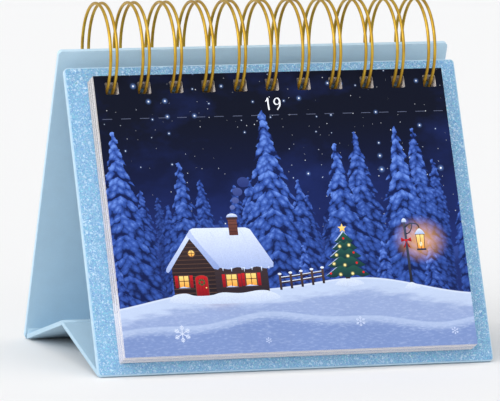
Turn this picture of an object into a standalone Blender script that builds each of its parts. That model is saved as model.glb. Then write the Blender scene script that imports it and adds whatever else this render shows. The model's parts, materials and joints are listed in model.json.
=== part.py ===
"""Postcard advent calendar: 24 postcards on a twin wire, on an easel stand of covered board.

The boards, cards and wire are built at real size in metres, +Z up. X runs along the wire,
Y runs from the card side to the rear, and the origin lies on the floor in the middle of the
object's box. The front board leans back from its foot, the back board leans forward to meet
it at the wire, and two short flaps make a low ridge between their feet.
"""
import math

import bmesh
import bpy
import numpy as np
from mathutils import Matrix, Vector

MM = 0.001

# Postcards: a 15 x 10 cm picture under a stub that stays on the wire
card_count = 24
card_width = 150.0 * MM
picture_height = 100.0 * MM
stub_height = 18.5 * MM
card_thickness = 0.30 * MM
card_gap = 0.05 * MM

# Stand boards, with their cover paper
board_beside_cards = 9.25 * MM
board_above_cards = 6.5 * MM
board_above_back_holes = 17.92 * MM
board_thickness = 2.0 * MM
board_corner_radius = 1.6 * MM
board_edge_radius = 0.4 * MM
corner_steps = 3
edge_steps = 1
front_lean = math.radians(24.0)
foot_spread = 107.2 * MM

# Glitter sheet glued on the front board
facing_thickness = 0.25 * MM
facing_margin = 0.5 * MM
glue_gap = 0.1 * MM

# Where the block of cards lies on the front board
card_lift = 5.0 * MM
block_gap = 0.15 * MM

# Twin wire
loop_count = 11
first_loop_from_card_edge = 7.4 * MM
last_loop_from_card_edge = 6.0 * MM
ring_radius = 20.5 * MM
ring_behind_front_board = 0.25 * MM
ring_to_back_board = 2.25 * MM
wire_diameter = 1.3 * MM
twin_spacing = 2.7 * MM
wire_bend_radius = 1.0 * MM
wire_end_length = 3.0 * MM
tip_to_seam = 1.2 * MM
seam_angle = math.radians(18.0)
loop_points = 24
bend_steps = 2
tip_steps = 4
wire_round_steps = 1

# Punched holes. The back board's are taller, because it slides on the wire as it folds
hole_width = 5.5 * MM
hole_clearance = 0.3 * MM
hole_below_card_edge = 2.956 * MM
back_hole_height = 7.4 * MM
back_hole_raise = 2.4 * MM

# Base flaps
ridge_height = 15.6 * MM
crease_height = 2.2 * MM
crease_gap = 0.3 * MM
ridge_gap = 0.6 * MM
ridge_hinge_drop = 0.15 * MM
flap_inset = 0.5 * MM

weld_distance = 0.001 * MM


def ring_drop(offset, radius=ring_radius):
    """Depth of a circle about the ring's centre, where a plane passes at an offset from it."""
    return math.sqrt(radius**2 - offset**2)


# Sizes that follow from the ones above
card_height = picture_height + stub_height
card_pitch = card_thickness + card_gap
board_width = card_width + 2 * board_beside_cards
front_board_length = card_lift + card_height + board_above_cards
wire_radius = wire_diameter / 2
facing_front = board_thickness + glue_gap + facing_thickness
block_back = facing_front + block_gap
block_front = block_back + card_count * card_pitch - card_gap
loops_width = card_width - first_loop_from_card_edge - last_loop_from_card_edge
first_loop_x = first_loop_from_card_edge - card_width / 2
loop_places = [first_loop_x + loops_width * i / (loop_count - 1) for i in range(loop_count)]

# The punch in the cards: tall enough for the curved wire to pass the whole block
hole_top = ring_drop(block_front + ring_behind_front_board, ring_radius - wire_radius) - hole_clearance
hole_bottom = ring_drop(block_back + ring_behind_front_board, ring_radius + wire_radius) + hole_clearance
hole_height = hole_bottom - hole_top
card_hole_center = (hole_top + hole_bottom) / 2
ring_above_cards = hole_top - hole_below_card_edge
ring_on_board = card_lift + card_height + ring_above_cards


def lean_axes(lean):
    """Unit vectors up a board and out of its outer face, for a board that leans towards +Y."""
    up = Vector((0, math.sin(lean), math.cos(lean)))
    out = Vector((0, -math.cos(lean), math.sin(lean)))
    return up, out


def corner_drop(lean):
    """How far a board's sharp lower corner would lie under its rounded edge's lowest line."""
    return board_edge_radius * (math.cos(lean) + math.sin(lean) - 1)


def place_boards():
    """Foot of each board's inner face, the ring's centre and the back board's lean.

    The feet are placed so that the object's box is centred on Y = 0 and stands on Z = 0.
    """
    up, out = lean_axes(front_lean)
    front_foot = Vector((0, 0, -corner_drop(front_lean)))
    back_foot = front_foot + Vector((0, foot_spread, 0))
    ring = front_foot + up * ring_on_board - out * ring_behind_front_board
    reach = ring - back_foot
    back_lean = math.atan2(-reach.y, reach.z) - math.asin(ring_to_back_board / reach.length)
    first_y = card_lift * math.sin(front_lean) - block_front * math.cos(front_lean)
    rounding = board_edge_radius * (1 - math.sin(back_lean) - math.cos(back_lean))
    last_y = foot_spread + board_thickness * math.cos(back_lean) + rounding
    shift = Vector((0, -(first_y + last_y) / 2, 0))
    return front_foot + shift, back_foot + shift, ring + shift, back_lean


front_foot, back_foot, ring_center, back_lean = place_boards()
back_board_below_ring = math.sqrt((ring_center - back_foot).length ** 2 - ring_to_back_board**2)


def clear_scene():
    """Remove every object and collection that the scene starts with."""
    for obj in list(bpy.data.objects):
        bpy.data.objects.remove(obj, do_unlink=True)
    for collection in list(bpy.data.collections):
        bpy.data.collections.remove(collection)


def make_material(name, color, roughness, metallic=0.0):
    """Principled BSDF with one colour."""
    material = bpy.data.materials.new(name)
    material.use_nodes = True
    shader = material.node_tree.nodes["Principled BSDF"]
    shader.inputs["Base Color"].default_value = (*color, 1.0)
    shader.inputs["Roughness"].default_value = roughness
    shader.inputs["Metallic"].default_value = metallic
    return material


def make_empty(name, location, turn_x):
    """Empty on a joint's axis or a board's foot, turned about X."""
    empty = bpy.data.objects.new(name, None)
    empty.location = location
    empty.rotation_euler.x = turn_x
    calendar.objects.link(empty)
    return empty


def add_piece(name, data, material, parent, location=(0, 0, 0)):
    """Object for one physical piece, carried by an empty."""
    piece = bpy.data.objects.new(name, data)
    if not data.materials:
        data.materials.append(material)
    piece.parent = parent
    piece.location = location
    calendar.objects.link(piece)
    return piece


def rounded_rectangle(low_x, high_x, low_y, high_y, radius):
    """Corner points of a rectangle with round corners, anticlockwise."""
    points = []
    corners = (
        (high_x - radius, high_y - radius, 0),
        (low_x + radius, high_y - radius, 1),
        (low_x + radius, low_y + radius, 2),
        (high_x - radius, low_y + radius, 3),
    )
    for x, y, quarter in corners:
        for step in range(corner_steps + 1):
            angle = (quarter + step / corner_steps) * math.pi / 2
            points.append((x + radius * math.cos(angle), y + radius * math.sin(angle)))
    return points


def rectangle(low_x, high_x, low_y, high_y):
    """Corner points of a rectangle, anticlockwise."""
    return [(high_x, high_y), (low_x, high_y), (low_x, low_y), (high_x, low_y)]


def punched_holes(center_y, height, grow=0.0):
    """One clockwise rectangle for each loop of the wire, in a row at a height."""
    half_x = hole_width / 2 + grow
    half_y = height / 2 + grow
    return [
        rectangle(x - half_x, x + half_x, center_y - half_y, center_y + half_y)[::-1]
        for x in loop_places
    ]


def flat_mesh(name, outlines, thickness, edge_radius=0.0):
    """Closed mesh of a flat sheet: filled outlines in X and Y, thickness along Z."""
    curve = bpy.data.curves.new(name, "CURVE")
    curve.dimensions = "2D"
    curve.fill_mode = "BOTH"
    curve.extrude = thickness / 2 - edge_radius
    curve.bevel_depth = edge_radius
    curve.bevel_resolution = edge_steps
    for points in outlines:
        spline = curve.splines.new("POLY")
        spline.points.add(len(points) - 1)
        for point, (x, y) in zip(spline.points, points):
            point.co = (x, y, 0, 1)
        spline.use_cyclic_u = True
    guide = bpy.data.objects.new(name, curve)
    calendar.objects.link(guide)
    bpy.context.view_layer.update()
    evaluated = guide.evaluated_get(bpy.context.evaluated_depsgraph_get())
    mesh = bpy.data.meshes.new_from_object(evaluated)
    mesh.name = name
    bpy.data.objects.remove(guide, do_unlink=True)
    bpy.data.curves.remove(curve)
    shell = bmesh.new()
    shell.from_mesh(mesh)
    bmesh.ops.remove_doubles(shell, verts=shell.verts, dist=weld_distance)
    bmesh.ops.recalc_face_normals(shell, faces=shell.faces)
    shell.to_mesh(mesh)
    shell.free()
    return mesh


# A sheet drawn in X and Y stands up in X and Z
stand_up = Matrix.Rotation(math.radians(90), 4, "X")

# A cross-section drawn in X and Y becomes one in Y and Z, drawn out along X
along_x = Matrix(((0, 0, 1, 0), (1, 0, 0, 0), (0, 1, 0, 0), (0, 0, 0, 1)))


def board_mesh(name, length, holes_at, holes_tall):
    """Covered board standing on Y = 0, with round corners, soft edges and a row of holes."""
    soft = board_edge_radius
    half = board_width / 2 - soft
    outline = rounded_rectangle(-half, half, soft, length - soft, board_corner_radius - soft)
    holes = punched_holes(holes_at, holes_tall, soft)
    mesh = flat_mesh(name, [outline] + holes, board_thickness, soft)
    mesh.transform(stand_up)
    return mesh


def make_front_board():
    """Front board, glitter sheet and their common foot."""
    foot = make_empty("front_board_foot", front_foot, -front_lean)
    middle = ring_behind_front_board + board_thickness / 2
    holes_at = ring_on_board - ring_drop(middle)
    board = board_mesh("front_board", front_board_length, holes_at, hole_height)
    add_piece("front_board", board, cover_paper, foot, (0, -board_thickness / 2, 0))
    half = board_width / 2 - facing_margin
    low, high = facing_margin, front_board_length - facing_margin
    outline = rounded_rectangle(-half, half, low, high, board_corner_radius - facing_margin)
    holes = punched_holes(holes_at, hole_height)
    sheet = flat_mesh("glitter_facing", [outline] + holes, facing_thickness)
    sheet.transform(stand_up)
    place = (0, -(facing_front - facing_thickness / 2), 0)
    add_piece("glitter_facing", sheet, glitter_paper, foot, place)


def make_cards():
    """The block of cards. Card 1 is the front one, and all turn on the ring's axis."""
    axis = make_empty("card_turn_axis", ring_center, -front_lean)
    half = card_width / 2
    outline = rectangle(-half, half, -ring_above_cards - card_height, -ring_above_cards)
    holes = punched_holes(-card_hole_center, hole_height)
    sheet = flat_mesh("postcard", [outline] + holes, card_thickness)
    sheet.transform(stand_up)
    last_offset = ring_behind_front_board + block_back + card_thickness / 2
    for number in range(1, card_count + 1):
        offset = last_offset + (card_count - number) * card_pitch
        add_piece(f"card_{number:02d}", sheet, printed_card, axis, (0, -offset, 0))


def crease_place(foot, lean, side):
    """Hinge line at a board's inner face, just above the floor. side is 1 for the front board."""
    up = Vector((0, side * math.sin(lean), math.cos(lean)))
    inward = Vector((0, side * math.cos(lean), -math.sin(lean)))
    along = (crease_height - foot.z + crease_gap * math.sin(lean)) / math.cos(lean)
    return foot + up * along + inward * crease_gap


front_crease = crease_place(front_foot, front_lean, 1)
back_crease = crease_place(back_foot, back_lean, -1)

# The flaps' upper faces would meet at the ridge. They hinge on each other under it.
flap_run = (back_crease.y - front_crease.y) / 2
flap_slope = math.atan2(ridge_height - crease_height, flap_run)
ridge_y = front_crease.y + flap_run
ridge_hinge_z = ridge_height - (board_thickness + ridge_hinge_drop) / math.cos(flap_slope)
ridge_hinge = Vector((0, ridge_y, ridge_hinge_z))


def in_frame(point, origin, turn_x):
    """A world point as seen from an empty at an origin, turned about X."""
    return Matrix.Rotation(-turn_x, 3, "X") @ (point - origin)


def flap_mesh(name, toward):
    """Base flap from its crease at Y = 0 towards the ridge, with the ridge end cut upright."""
    length = (flap_run - ridge_gap / 2) / math.cos(flap_slope)
    under = length - board_thickness * math.tan(flap_slope)
    outline = [(0, 0), (0, -board_thickness), (toward * under, -board_thickness), (toward * length, 0)]
    mesh = flat_mesh(name, [outline[::toward]], board_width - 2 * flap_inset)
    mesh.transform(along_x)
    return mesh


def make_base():
    """Two flaps between the boards' feet, the front one on its crease, the back one on the ridge."""
    front_axis = make_empty("front_crease_axis", front_crease, flap_slope)
    add_piece("base_front_flap", flap_mesh("base_front_flap", 1), cover_paper, front_axis)
    ridge_axis = make_empty("ridge_axis", ridge_hinge, -flap_slope)
    place = in_frame(back_crease, ridge_hinge, -flap_slope)
    add_piece("base_back_flap", flap_mesh("base_back_flap", -1), cover_paper, ridge_axis, place)


def make_back_board():
    """Back board, which turns on the crease at its foot and hangs loose on the wire."""
    axis = make_empty("back_crease_axis", back_crease, back_lean)
    on_wire = back_board_below_ring - ring_drop(ring_to_back_board + board_thickness / 2)
    holes_at = on_wire + back_hole_raise
    length = holes_at + board_above_back_holes
    print(f"back board length: {length / MM:.3f} mm")
    board = board_mesh("back_board", length, holes_at, back_hole_height)
    place = in_frame(back_foot, back_crease, back_lean)
    place.y += board_thickness / 2
    add_piece("back_board", board, cover_paper, axis, place)


def ring_point(x, angle):
    """Point of the wire's round, at an angle from straight down towards the cards."""
    return Vector((x, -ring_radius * math.sin(angle), -ring_radius * math.cos(angle)))


def loop_route(x):
    """Points of one twin loop: up from the seam, round to the tip, and back beside itself."""
    half = twin_spacing / 2
    bend = wire_bend_radius
    low, high = seam_angle + bend / ring_radius, seam_angle + 2 * math.pi
    tip = high - (tip_to_seam + half) / ring_radius
    quarter = [math.pi / 2 * step / bend_steps for step in range(bend_steps)]
    points = []
    for turn in quarter:
        back = bend * (1 - math.sin(turn))
        points.append(ring_point(x - half - back, seam_angle + bend * (1 - math.cos(turn)) / ring_radius))
    for step in range(loop_points):
        points.append(ring_point(x - half, low + (tip - low) * step / loop_points))
    for step in range(tip_steps + 1):
        turn = math.pi * step / tip_steps
        across = half * math.cos(turn)
        points.append(ring_point(x - across, tip + half * math.sin(turn) / ring_radius))
    for step in reversed(range(loop_points)):
        points.append(ring_point(x + half, low + (tip - low) * step / loop_points))
    for turn in reversed(quarter):
        back = bend * (1 - math.sin(turn))
        points.append(ring_point(x + half + back, seam_angle + bend * (1 - math.cos(turn)) / ring_radius))
    return points


def least_gap(points):
    """Smallest clear gap between stretches of the wire that aren't neighbours along it."""
    places = np.array([tuple(p) for p in points])
    steps = np.linalg.norm(np.diff(places, axis=0), axis=1)
    along = np.concatenate(([0.0], np.cumsum(steps)))
    apart = np.linalg.norm(places[:, None] - places[None], axis=2)
    neighbours = np.abs(along[:, None] - along[None]) < math.pi * twin_spacing
    apart[neighbours] = np.inf
    return apart.min() - wire_diameter


def make_wire():
    """One continuous wire: a twin loop through each hole, joined by bars along the seam."""
    first, last = loop_places[0], loop_places[-1]
    run_out = twin_spacing / 2 + wire_bend_radius + wire_end_length
    route = [ring_point(first - run_out, seam_angle)]
    for x in loop_places:
        route += loop_route(x)
    route.append(ring_point(last + run_out, seam_angle))
    print(f"least gap of the wire to itself: {least_gap(route) / MM:.2f} mm")
    curve = bpy.data.curves.new("twin_wire", "CURVE")
    curve.dimensions = "3D"
    curve.bevel_depth = wire_radius
    curve.bevel_resolution = wire_round_steps
    curve.use_fill_caps = True
    spline = curve.splines.new("POLY")
    spline.points.add(len(route) - 1)
    for point, place in zip(spline.points, route):
        point.co = (*place, 1)
    spline.use_smooth = True
    axis = make_empty("wire_center", ring_center, 0.0)
    add_piece("twin_wire", curve, gold_wire, axis)


clear_scene()
calendar = bpy.data.collections.new("postcard_advent_calendar")
bpy.context.scene.collection.children.link(calendar)
cover_paper = make_material("cover_paper", (0.38, 0.56, 0.72), 0.75)
glitter_paper = make_material("glitter_paper", (0.45, 0.66, 0.88), 0.45)
printed_card = make_material("printed_card", (0.02, 0.03, 0.10), 0.5)
gold_wire = make_material("gold_wire", (0.72, 0.50, 0.12), 0.3, 1.0)

make_front_board()
make_cards()
make_base()
make_back_board()
make_wire()
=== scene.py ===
"""Looks of the postcard advent calendar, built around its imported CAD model.

Sizes are in metres and in the model's own frame: X runs along the wire, Y from the card side
to the rear, and the floor is Z = 0. The camera, light and floor come first, then the tools for
surfaces and for node formulas, then the finishes, and then the pieces: the stand's boards, its
base and folds, the cards with their print, and the wire.
"""

import json
import math

import bpy
import numpy as np
from mathutils import Matrix, Vector


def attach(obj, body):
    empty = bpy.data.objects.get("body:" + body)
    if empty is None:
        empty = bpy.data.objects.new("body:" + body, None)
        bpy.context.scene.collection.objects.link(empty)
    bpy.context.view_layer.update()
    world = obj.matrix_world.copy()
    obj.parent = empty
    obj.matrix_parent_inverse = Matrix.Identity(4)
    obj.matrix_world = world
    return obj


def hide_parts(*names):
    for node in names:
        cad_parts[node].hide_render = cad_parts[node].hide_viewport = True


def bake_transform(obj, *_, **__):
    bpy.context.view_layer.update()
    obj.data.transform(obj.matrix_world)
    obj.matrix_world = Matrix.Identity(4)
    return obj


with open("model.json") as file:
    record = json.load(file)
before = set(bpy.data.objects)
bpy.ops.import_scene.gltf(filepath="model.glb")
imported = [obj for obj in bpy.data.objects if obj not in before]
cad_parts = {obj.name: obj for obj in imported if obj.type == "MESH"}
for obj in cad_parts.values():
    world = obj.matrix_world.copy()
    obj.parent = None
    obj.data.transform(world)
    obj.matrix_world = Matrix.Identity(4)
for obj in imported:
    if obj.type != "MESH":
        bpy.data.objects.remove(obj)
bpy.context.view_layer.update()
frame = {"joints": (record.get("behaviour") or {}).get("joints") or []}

MM = 0.001
to_mm = 1 / MM

# Sizes of the boards, cards and wire
card_count = 24
card_width = 150.0 * MM
card_height = 118.5 * MM
card_thickness = 0.30 * MM
card_pitch = 0.35 * MM
board_width = 168.5 * MM
board_thickness = 2.0 * MM
board_corner_radius = 1.6 * MM
board_edge_radius = 0.4 * MM
front_board_length = 130.0 * MM
back_board_length = 135.0 * MM
front_lean = math.radians(24.0)
back_lean = math.radians(21.4211)
back_foot_y = 56.6674 * MM
back_foot_z = -0.1281 * MM
facing_front = 2.35 * MM
facing_margin = 0.5 * MM
card_lift = 5.0 * MM
block_back = 2.5 * MM
slip_across = 0.10 * MM
slip_up = 0.07 * MM
front_day = 19
loop_count = 11
loop_pitch = 13.66 * MM
first_loop_x = -67.6 * MM
ring_radius = 20.5 * MM
ring_above_cards = 13.2 * MM
ring_behind_front_board = 0.25 * MM
wire_radius = 0.65 * MM
twin_spacing = 2.7 * MM
wire_bend_radius = 1.0 * MM
wire_end_length = 3.0 * MM
tip_to_seam = 1.2 * MM
seam_angle = math.radians(18.0)
hole_width = 5.5 * MM
hole_height = 5.114 * MM
hole_corner = 0.45 * MM
card_hole_drop = 18.71 * MM
board_hole_height = 116.24 * MM
back_hole_height = 7.4 * MM
back_board_hole_height = 117.08 * MM
flap_half_width = 83.75 * MM
flap_edge_radius = 0.3 * MM
ridge_height = 15.6 * MM
ridge_gap = 0.6 * MM
hinge_paper = 0.12 * MM
hinge_margin = 0.4 * MM
paper_lift = 0.02 * MM

# Layers of printed ink on a card's face, and in millimetres where its print stands
ink_lift = 0.008 * MM
ink_layer = 0.003 * MM
ink_thickness = 0.002 * MM
front_seed = 3.37
picture_top = 100.0
number_height = 5.0
number_foot = picture_top + 2.2
cottage_x = -30.0
fir_x = 23.0
lamp_x = 50.0

# The snow field's upper edge on a card: waves of size, length, turn by seed and turn, on a level
crest_waves = ((4.2, 33.0, 2.1, 0.4), (1.5, 12.7, 5.3, 0.0))
crest_level = 25.0

loop_places = first_loop_x + loop_pitch * np.arange(loop_count)
joints = {joint["name"]: np.array(joint["pos_m"]) for joint in frame["joints"]}
ring_center = joints["turn_card_01"]
front_crease = joints["stand_fold"]
back_crease = joints["back_board_fold"]
ridge_hinge = joints["ridge_fold"]
flap_run = (back_crease[1] - front_crease[1]) / 2
flap_slope = math.atan2(ridge_height - front_crease[2], flap_run)


# Camera at the photograph's angle
camera_azimuth = math.radians(18.08)
camera_elevation = math.radians(7.19)
camera_roll = math.radians(0.56)
camera_distance = 2.3476
camera_target = Vector((-0.00417, 0.0, 0.06296))
sensor_width = 36.0
photo_width = 500
photo_scale = 2.4283  # pixels per millimetre at the target
camera_lens = photo_scale * camera_distance / MM * sensor_width / photo_width


def make_camera():
    """Camera on a line from the target, towards the left front and a little above."""
    across = math.cos(camera_elevation)
    back = Vector((-math.sin(camera_azimuth) * across, -math.cos(camera_azimuth) * across,
                   math.sin(camera_elevation)))
    camera_data = bpy.data.cameras.new("photo_camera")
    camera_data.lens = camera_lens
    camera_data.sensor_width = sensor_width
    camera_data.clip_end = 50
    camera = bpy.data.objects.new("photo_camera", camera_data)
    turn = back.to_track_quat("Z", "Y").to_matrix() @ Matrix.Rotation(camera_roll, 3, "Z")
    camera.matrix_world = Matrix.Translation(camera_target + back * camera_distance) @ turn.to_4x4()
    bpy.context.scene.collection.objects.link(camera)
    bpy.context.scene.camera = camera


def make_lights():
    """A soft key from the upper left front, low soft lights from the left and front, one from above."""
    suns = (
        # name, strength, and spread and turn in degrees
        ("key_light", 0.72, 45, (56, 0, -34)),
        ("left_light", 1.40, 50, (66, 0, -74)),
        ("front_light", 0.38, 60, (80, 0, 12)),
        ("top_light", 0.54, 40, (8, 0, 10)),
    )
    for name, strength, spread, turn in suns:
        sun = bpy.data.lights.new(name, "SUN")
        sun.energy = strength
        sun.angle = math.radians(spread)
        lamp = bpy.data.objects.new(name, sun)
        lamp.rotation_euler = [math.radians(a) for a in turn]
        bpy.context.scene.collection.objects.link(lamp)
    world = bpy.data.worlds.new("pale_studio")
    world.use_nodes = True
    surround = world.node_tree.nodes["Background"]
    surround.inputs["Color"].default_value = (0.965, 0.97, 0.985, 1.0)
    surround.inputs["Strength"].default_value = 0.62
    bpy.context.scene.world = world
    bpy.context.scene.view_settings.view_transform = "Standard"


def make_floor():
    """Large plain floor under the object."""
    reach = 6.0
    corners = [(-reach, -reach, 0), (reach, -reach, 0), (reach, reach, 0), (-reach, reach, 0)]
    mesh = bpy.data.meshes.new("floor")
    mesh.from_pydata(corners, [], [(0, 1, 2, 3)])
    floor = bpy.data.objects.new("floor", mesh)
    bpy.context.scene.collection.objects.link(floor)
    pale = bpy.data.materials.new("pale_floor")
    pale.use_nodes = True
    shader = pale.node_tree.nodes["Principled BSDF"]
    shader.inputs["Base Color"].default_value = (0.86, 0.86, 0.86, 1.0)
    shader.inputs["Roughness"].default_value = 0.9
    shader.inputs["Specular IOR Level"].default_value = 0.1
    mesh.materials.append(pale)


# ---------- surfaces ----------

def placed_by(origin, up, out):
    """Function from x, height and distance out to places: origin + x X + height up + distance out."""
    origin, up, out = np.array(origin, float), np.array(up), np.array(out)

    def place(x, height, away):
        """Places at x, height up and a distance out."""
        x, height, away = np.broadcast_arrays(x, height, away)
        return (origin + x[..., None] * np.array((1.0, 0.0, 0.0))
                + height[..., None] * up + away[..., None] * out)

    place.faces_out = np.dot(np.cross((1.0, 0.0, 0.0), up), out) > 0
    place.origin, place.up = origin, up
    return place


def make_object(name, places, faces, looks, looks_of_faces=None, smooth=False):
    """Object whose mesh has these places, faces and materials, with its origin at the frame's."""
    mesh = bpy.data.meshes.new(name)
    mesh.from_pydata(places.reshape(-1, 3).tolist(), [], [list(face) for face in faces])
    for look in looks:
        mesh.materials.append(look)
    if looks_of_faces is not None:
        mesh.polygons.foreach_set("material_index", looks_of_faces.astype(np.int32))
    mesh.polygons.foreach_set("use_smooth", np.full(len(faces), smooth))
    mesh.update()
    piece = bpy.data.objects.new(name, mesh)
    bpy.context.scene.collection.objects.link(piece)
    return piece


def grid_faces(rows, columns, around_columns=False):
    """Quads of a grid of points, row by row. Closed rows join their last point to their first."""
    index = np.arange(rows * columns).reshape(rows, columns)
    if around_columns:
        index = np.hstack((index, index[:, :1]))
    corners = (index[:-1, :-1], index[:-1, 1:], index[1:, 1:], index[1:, :-1])
    return np.stack(corners, axis=-1).reshape(-1, 4)


# Grid of a punched sheet, and how near its outline a wall counts as its outer edge
side_steps = 6
cell_margin = 1.4 * MM
count_below = 6
count_above = 4
edge_column = 1.0 * MM
outline_band = 1.7 * MM


def cell_side_points():
    """Points round a unit cell, anticlockwise from its lower left corner, and their steps."""
    t = np.arange(side_steps) / side_steps * 2 - 1
    one = np.ones(side_steps)
    return np.vstack((np.c_[t, -one], np.c_[one, t], np.c_[-t, one], np.c_[-one, -t]))


def hole_points(width, height, radius):
    """Points round a hole with round corners, in step with the points round its cell.

    Each side has the middle of one corner's arc, the arc's end, three points that share the
    straight stretch evenly, and the start of the next arc.
    """
    middle = radius * (1 - math.sqrt(0.5))
    half_x, half_y = width / 2, height / 2

    def side(half_length):
        """Places along one side, and how far each lies in from it."""
        straight = np.linspace(radius - half_length, half_length - radius, side_steps - 1)
        along = np.concatenate(([middle - half_length], straight))
        return along, np.r_[middle, np.zeros(side_steps - 1)]

    along_x, in_x = side(half_x)
    along_y, in_y = side(half_y)
    return np.vstack((
        np.c_[along_x, in_x - half_y], np.c_[half_x - in_y, along_y],
        np.c_[-along_x, half_y - in_x], np.c_[in_y - half_x, -along_y],
    ))


def punched_plan(width, low, high, holes_at, hole_tall, corner_radius=0.0):
    """Points and quads of a flat sheet with a row of punched holes, in x and height.

    Each hole is a ring of quads from its rounded outline to the cell around it. Strips of quads
    fill the sheet above, below and beside the row. A round corner draws in the ends of the last
    rows: at a distance d from the edge, by r minus the root of r squared less (r - d) squared.
    """
    cell_x = hole_width / 2 + cell_margin
    cell_y = hole_tall / 2 + cell_margin
    half = width / 2
    cell_points = cell_side_points() * (cell_x, cell_y)
    ring = np.vstack((cell_points, hole_points(hole_width, hole_tall, hole_corner)))
    count = 4 * side_steps
    ring_quads = grid_faces(2, count, around_columns=True)
    plans = [(ring + (x, holes_at), ring_quads) for x in loop_places]
    left, right = loop_places[0] - cell_x, loop_places[-1] + cell_x
    steps = (loop_places[:, None] + np.linspace(-cell_x, cell_x, side_steps + 1)).ravel()
    beside = np.linspace(-cell_y, cell_y, side_steps + 1) + holes_at
    turn = np.linspace(0, math.pi / 2, 5)
    soft = corner_radius * (1 - np.sin(turn)) if corner_radius else np.array([0.0])
    rows_below = np.linspace(low + corner_radius, holes_at - cell_y, count_below)
    rows_above = np.linspace(holes_at + cell_y, high - corner_radius, count_above)
    rows_below = np.unique(np.round(np.r_[low + soft, rows_below], 9))
    rows_above = np.unique(np.round(np.r_[high - soft, rows_above], 9))
    inner = half - max(corner_radius, edge_column)
    columns = np.r_[-half, -inner, steps, inner, half]
    for xs, ys in (
        (columns, rows_below), (columns, rows_above),
        (np.array([-half, -inner, left]), beside), (np.array([right, inner, half]), beside),
        *((np.array([x + cell_x, x + loop_pitch - cell_x]), beside) for x in loop_places[:-1]),
    ):
        x, y = np.meshgrid(xs, ys)
        plans.append((np.c_[x.ravel(), y.ravel()], grid_faces(len(ys), len(xs))))
    points, quads, start = [], [], 0
    for some_points, some_quads in plans:
        points.append(some_points)
        quads.append(some_quads + start)
        start += len(some_points)
    points, quads = np.vstack(points), np.vstack(quads)
    _, first, back = np.unique(np.round(points, 7), axis=0, return_index=True, return_inverse=True)
    points, quads = points[first], back.ravel()[quads]
    if corner_radius:
        from_edge = np.minimum(points[:, 1] - low, high - points[:, 1])
        short = np.clip(corner_radius - from_edge, 0, corner_radius)
        drawn = corner_radius - np.sqrt(corner_radius**2 - short**2)
        at_end = np.abs(points[:, 0]) > half - 1e-9
        points[at_end, 0] -= (np.sign(points[:, 0]) * drawn)[at_end]
    return points, quads


def boundary_edges(quads):
    """Edges that only one quad has, in that quad's direction."""
    edges = np.stack((quads, np.roll(quads, -1, axis=1)), axis=-1).reshape(-1, 2)
    key = np.sort(edges, axis=1)
    _, back, counts = np.unique(key, axis=0, return_inverse=True, return_counts=True)
    return edges[counts[back.ravel()] == 1]


def thick_sheet(name, plan, place, back, front, looks, soft=0.0):
    """Closed sheet: the plan's points at two distances out, with walls along every open edge.

    looks are the materials of the front, the back, the outer edge and the holes' walls. soft is
    the radius of its rounded edges.
    """
    points, quads = plan
    x, height = points.T
    places = np.vstack((place(x, height, front), place(x, height, back)))
    count = len(points)
    edges = boundary_edges(quads)
    walls = np.c_[edges[:, 0], edges[:, 0] + count, edges[:, 1] + count, edges[:, 1]]
    middle = points[edges].mean(axis=1)
    at_side = np.abs(middle[:, 0]) > x.max() - outline_band
    at_foot = middle[:, 1] < height.min() + outline_band
    at_top = middle[:, 1] > height.max() - outline_band
    outer = at_side | at_foot | at_top
    faces = np.vstack((quads, quads[:, ::-1] + count, walls))
    if not place.faces_out:
        faces = faces[:, ::-1]
    face_looks = np.concatenate((np.zeros(len(quads)), np.ones(len(quads)), np.where(outer, 2, 3)))
    piece = make_object(name, places, faces, looks, face_looks, smooth=bool(soft))
    if soft:
        rounding = piece.modifiers.new("soft_edges", "BEVEL")
        rounding.width = soft
        rounding.segments = 3
        rounding.limit_method = "ANGLE"
        rounding.angle_limit = math.radians(50)
        rounding.harden_normals = True
    return piece


# ---------- node formulas ----------

def connect(tree, value, slot):
    """Link a formula to an input, or set the input to a plain value."""
    if isinstance(value, Formula):
        tree.links.new(value.socket, slot)
    else:
        slot.default_value = value


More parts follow.
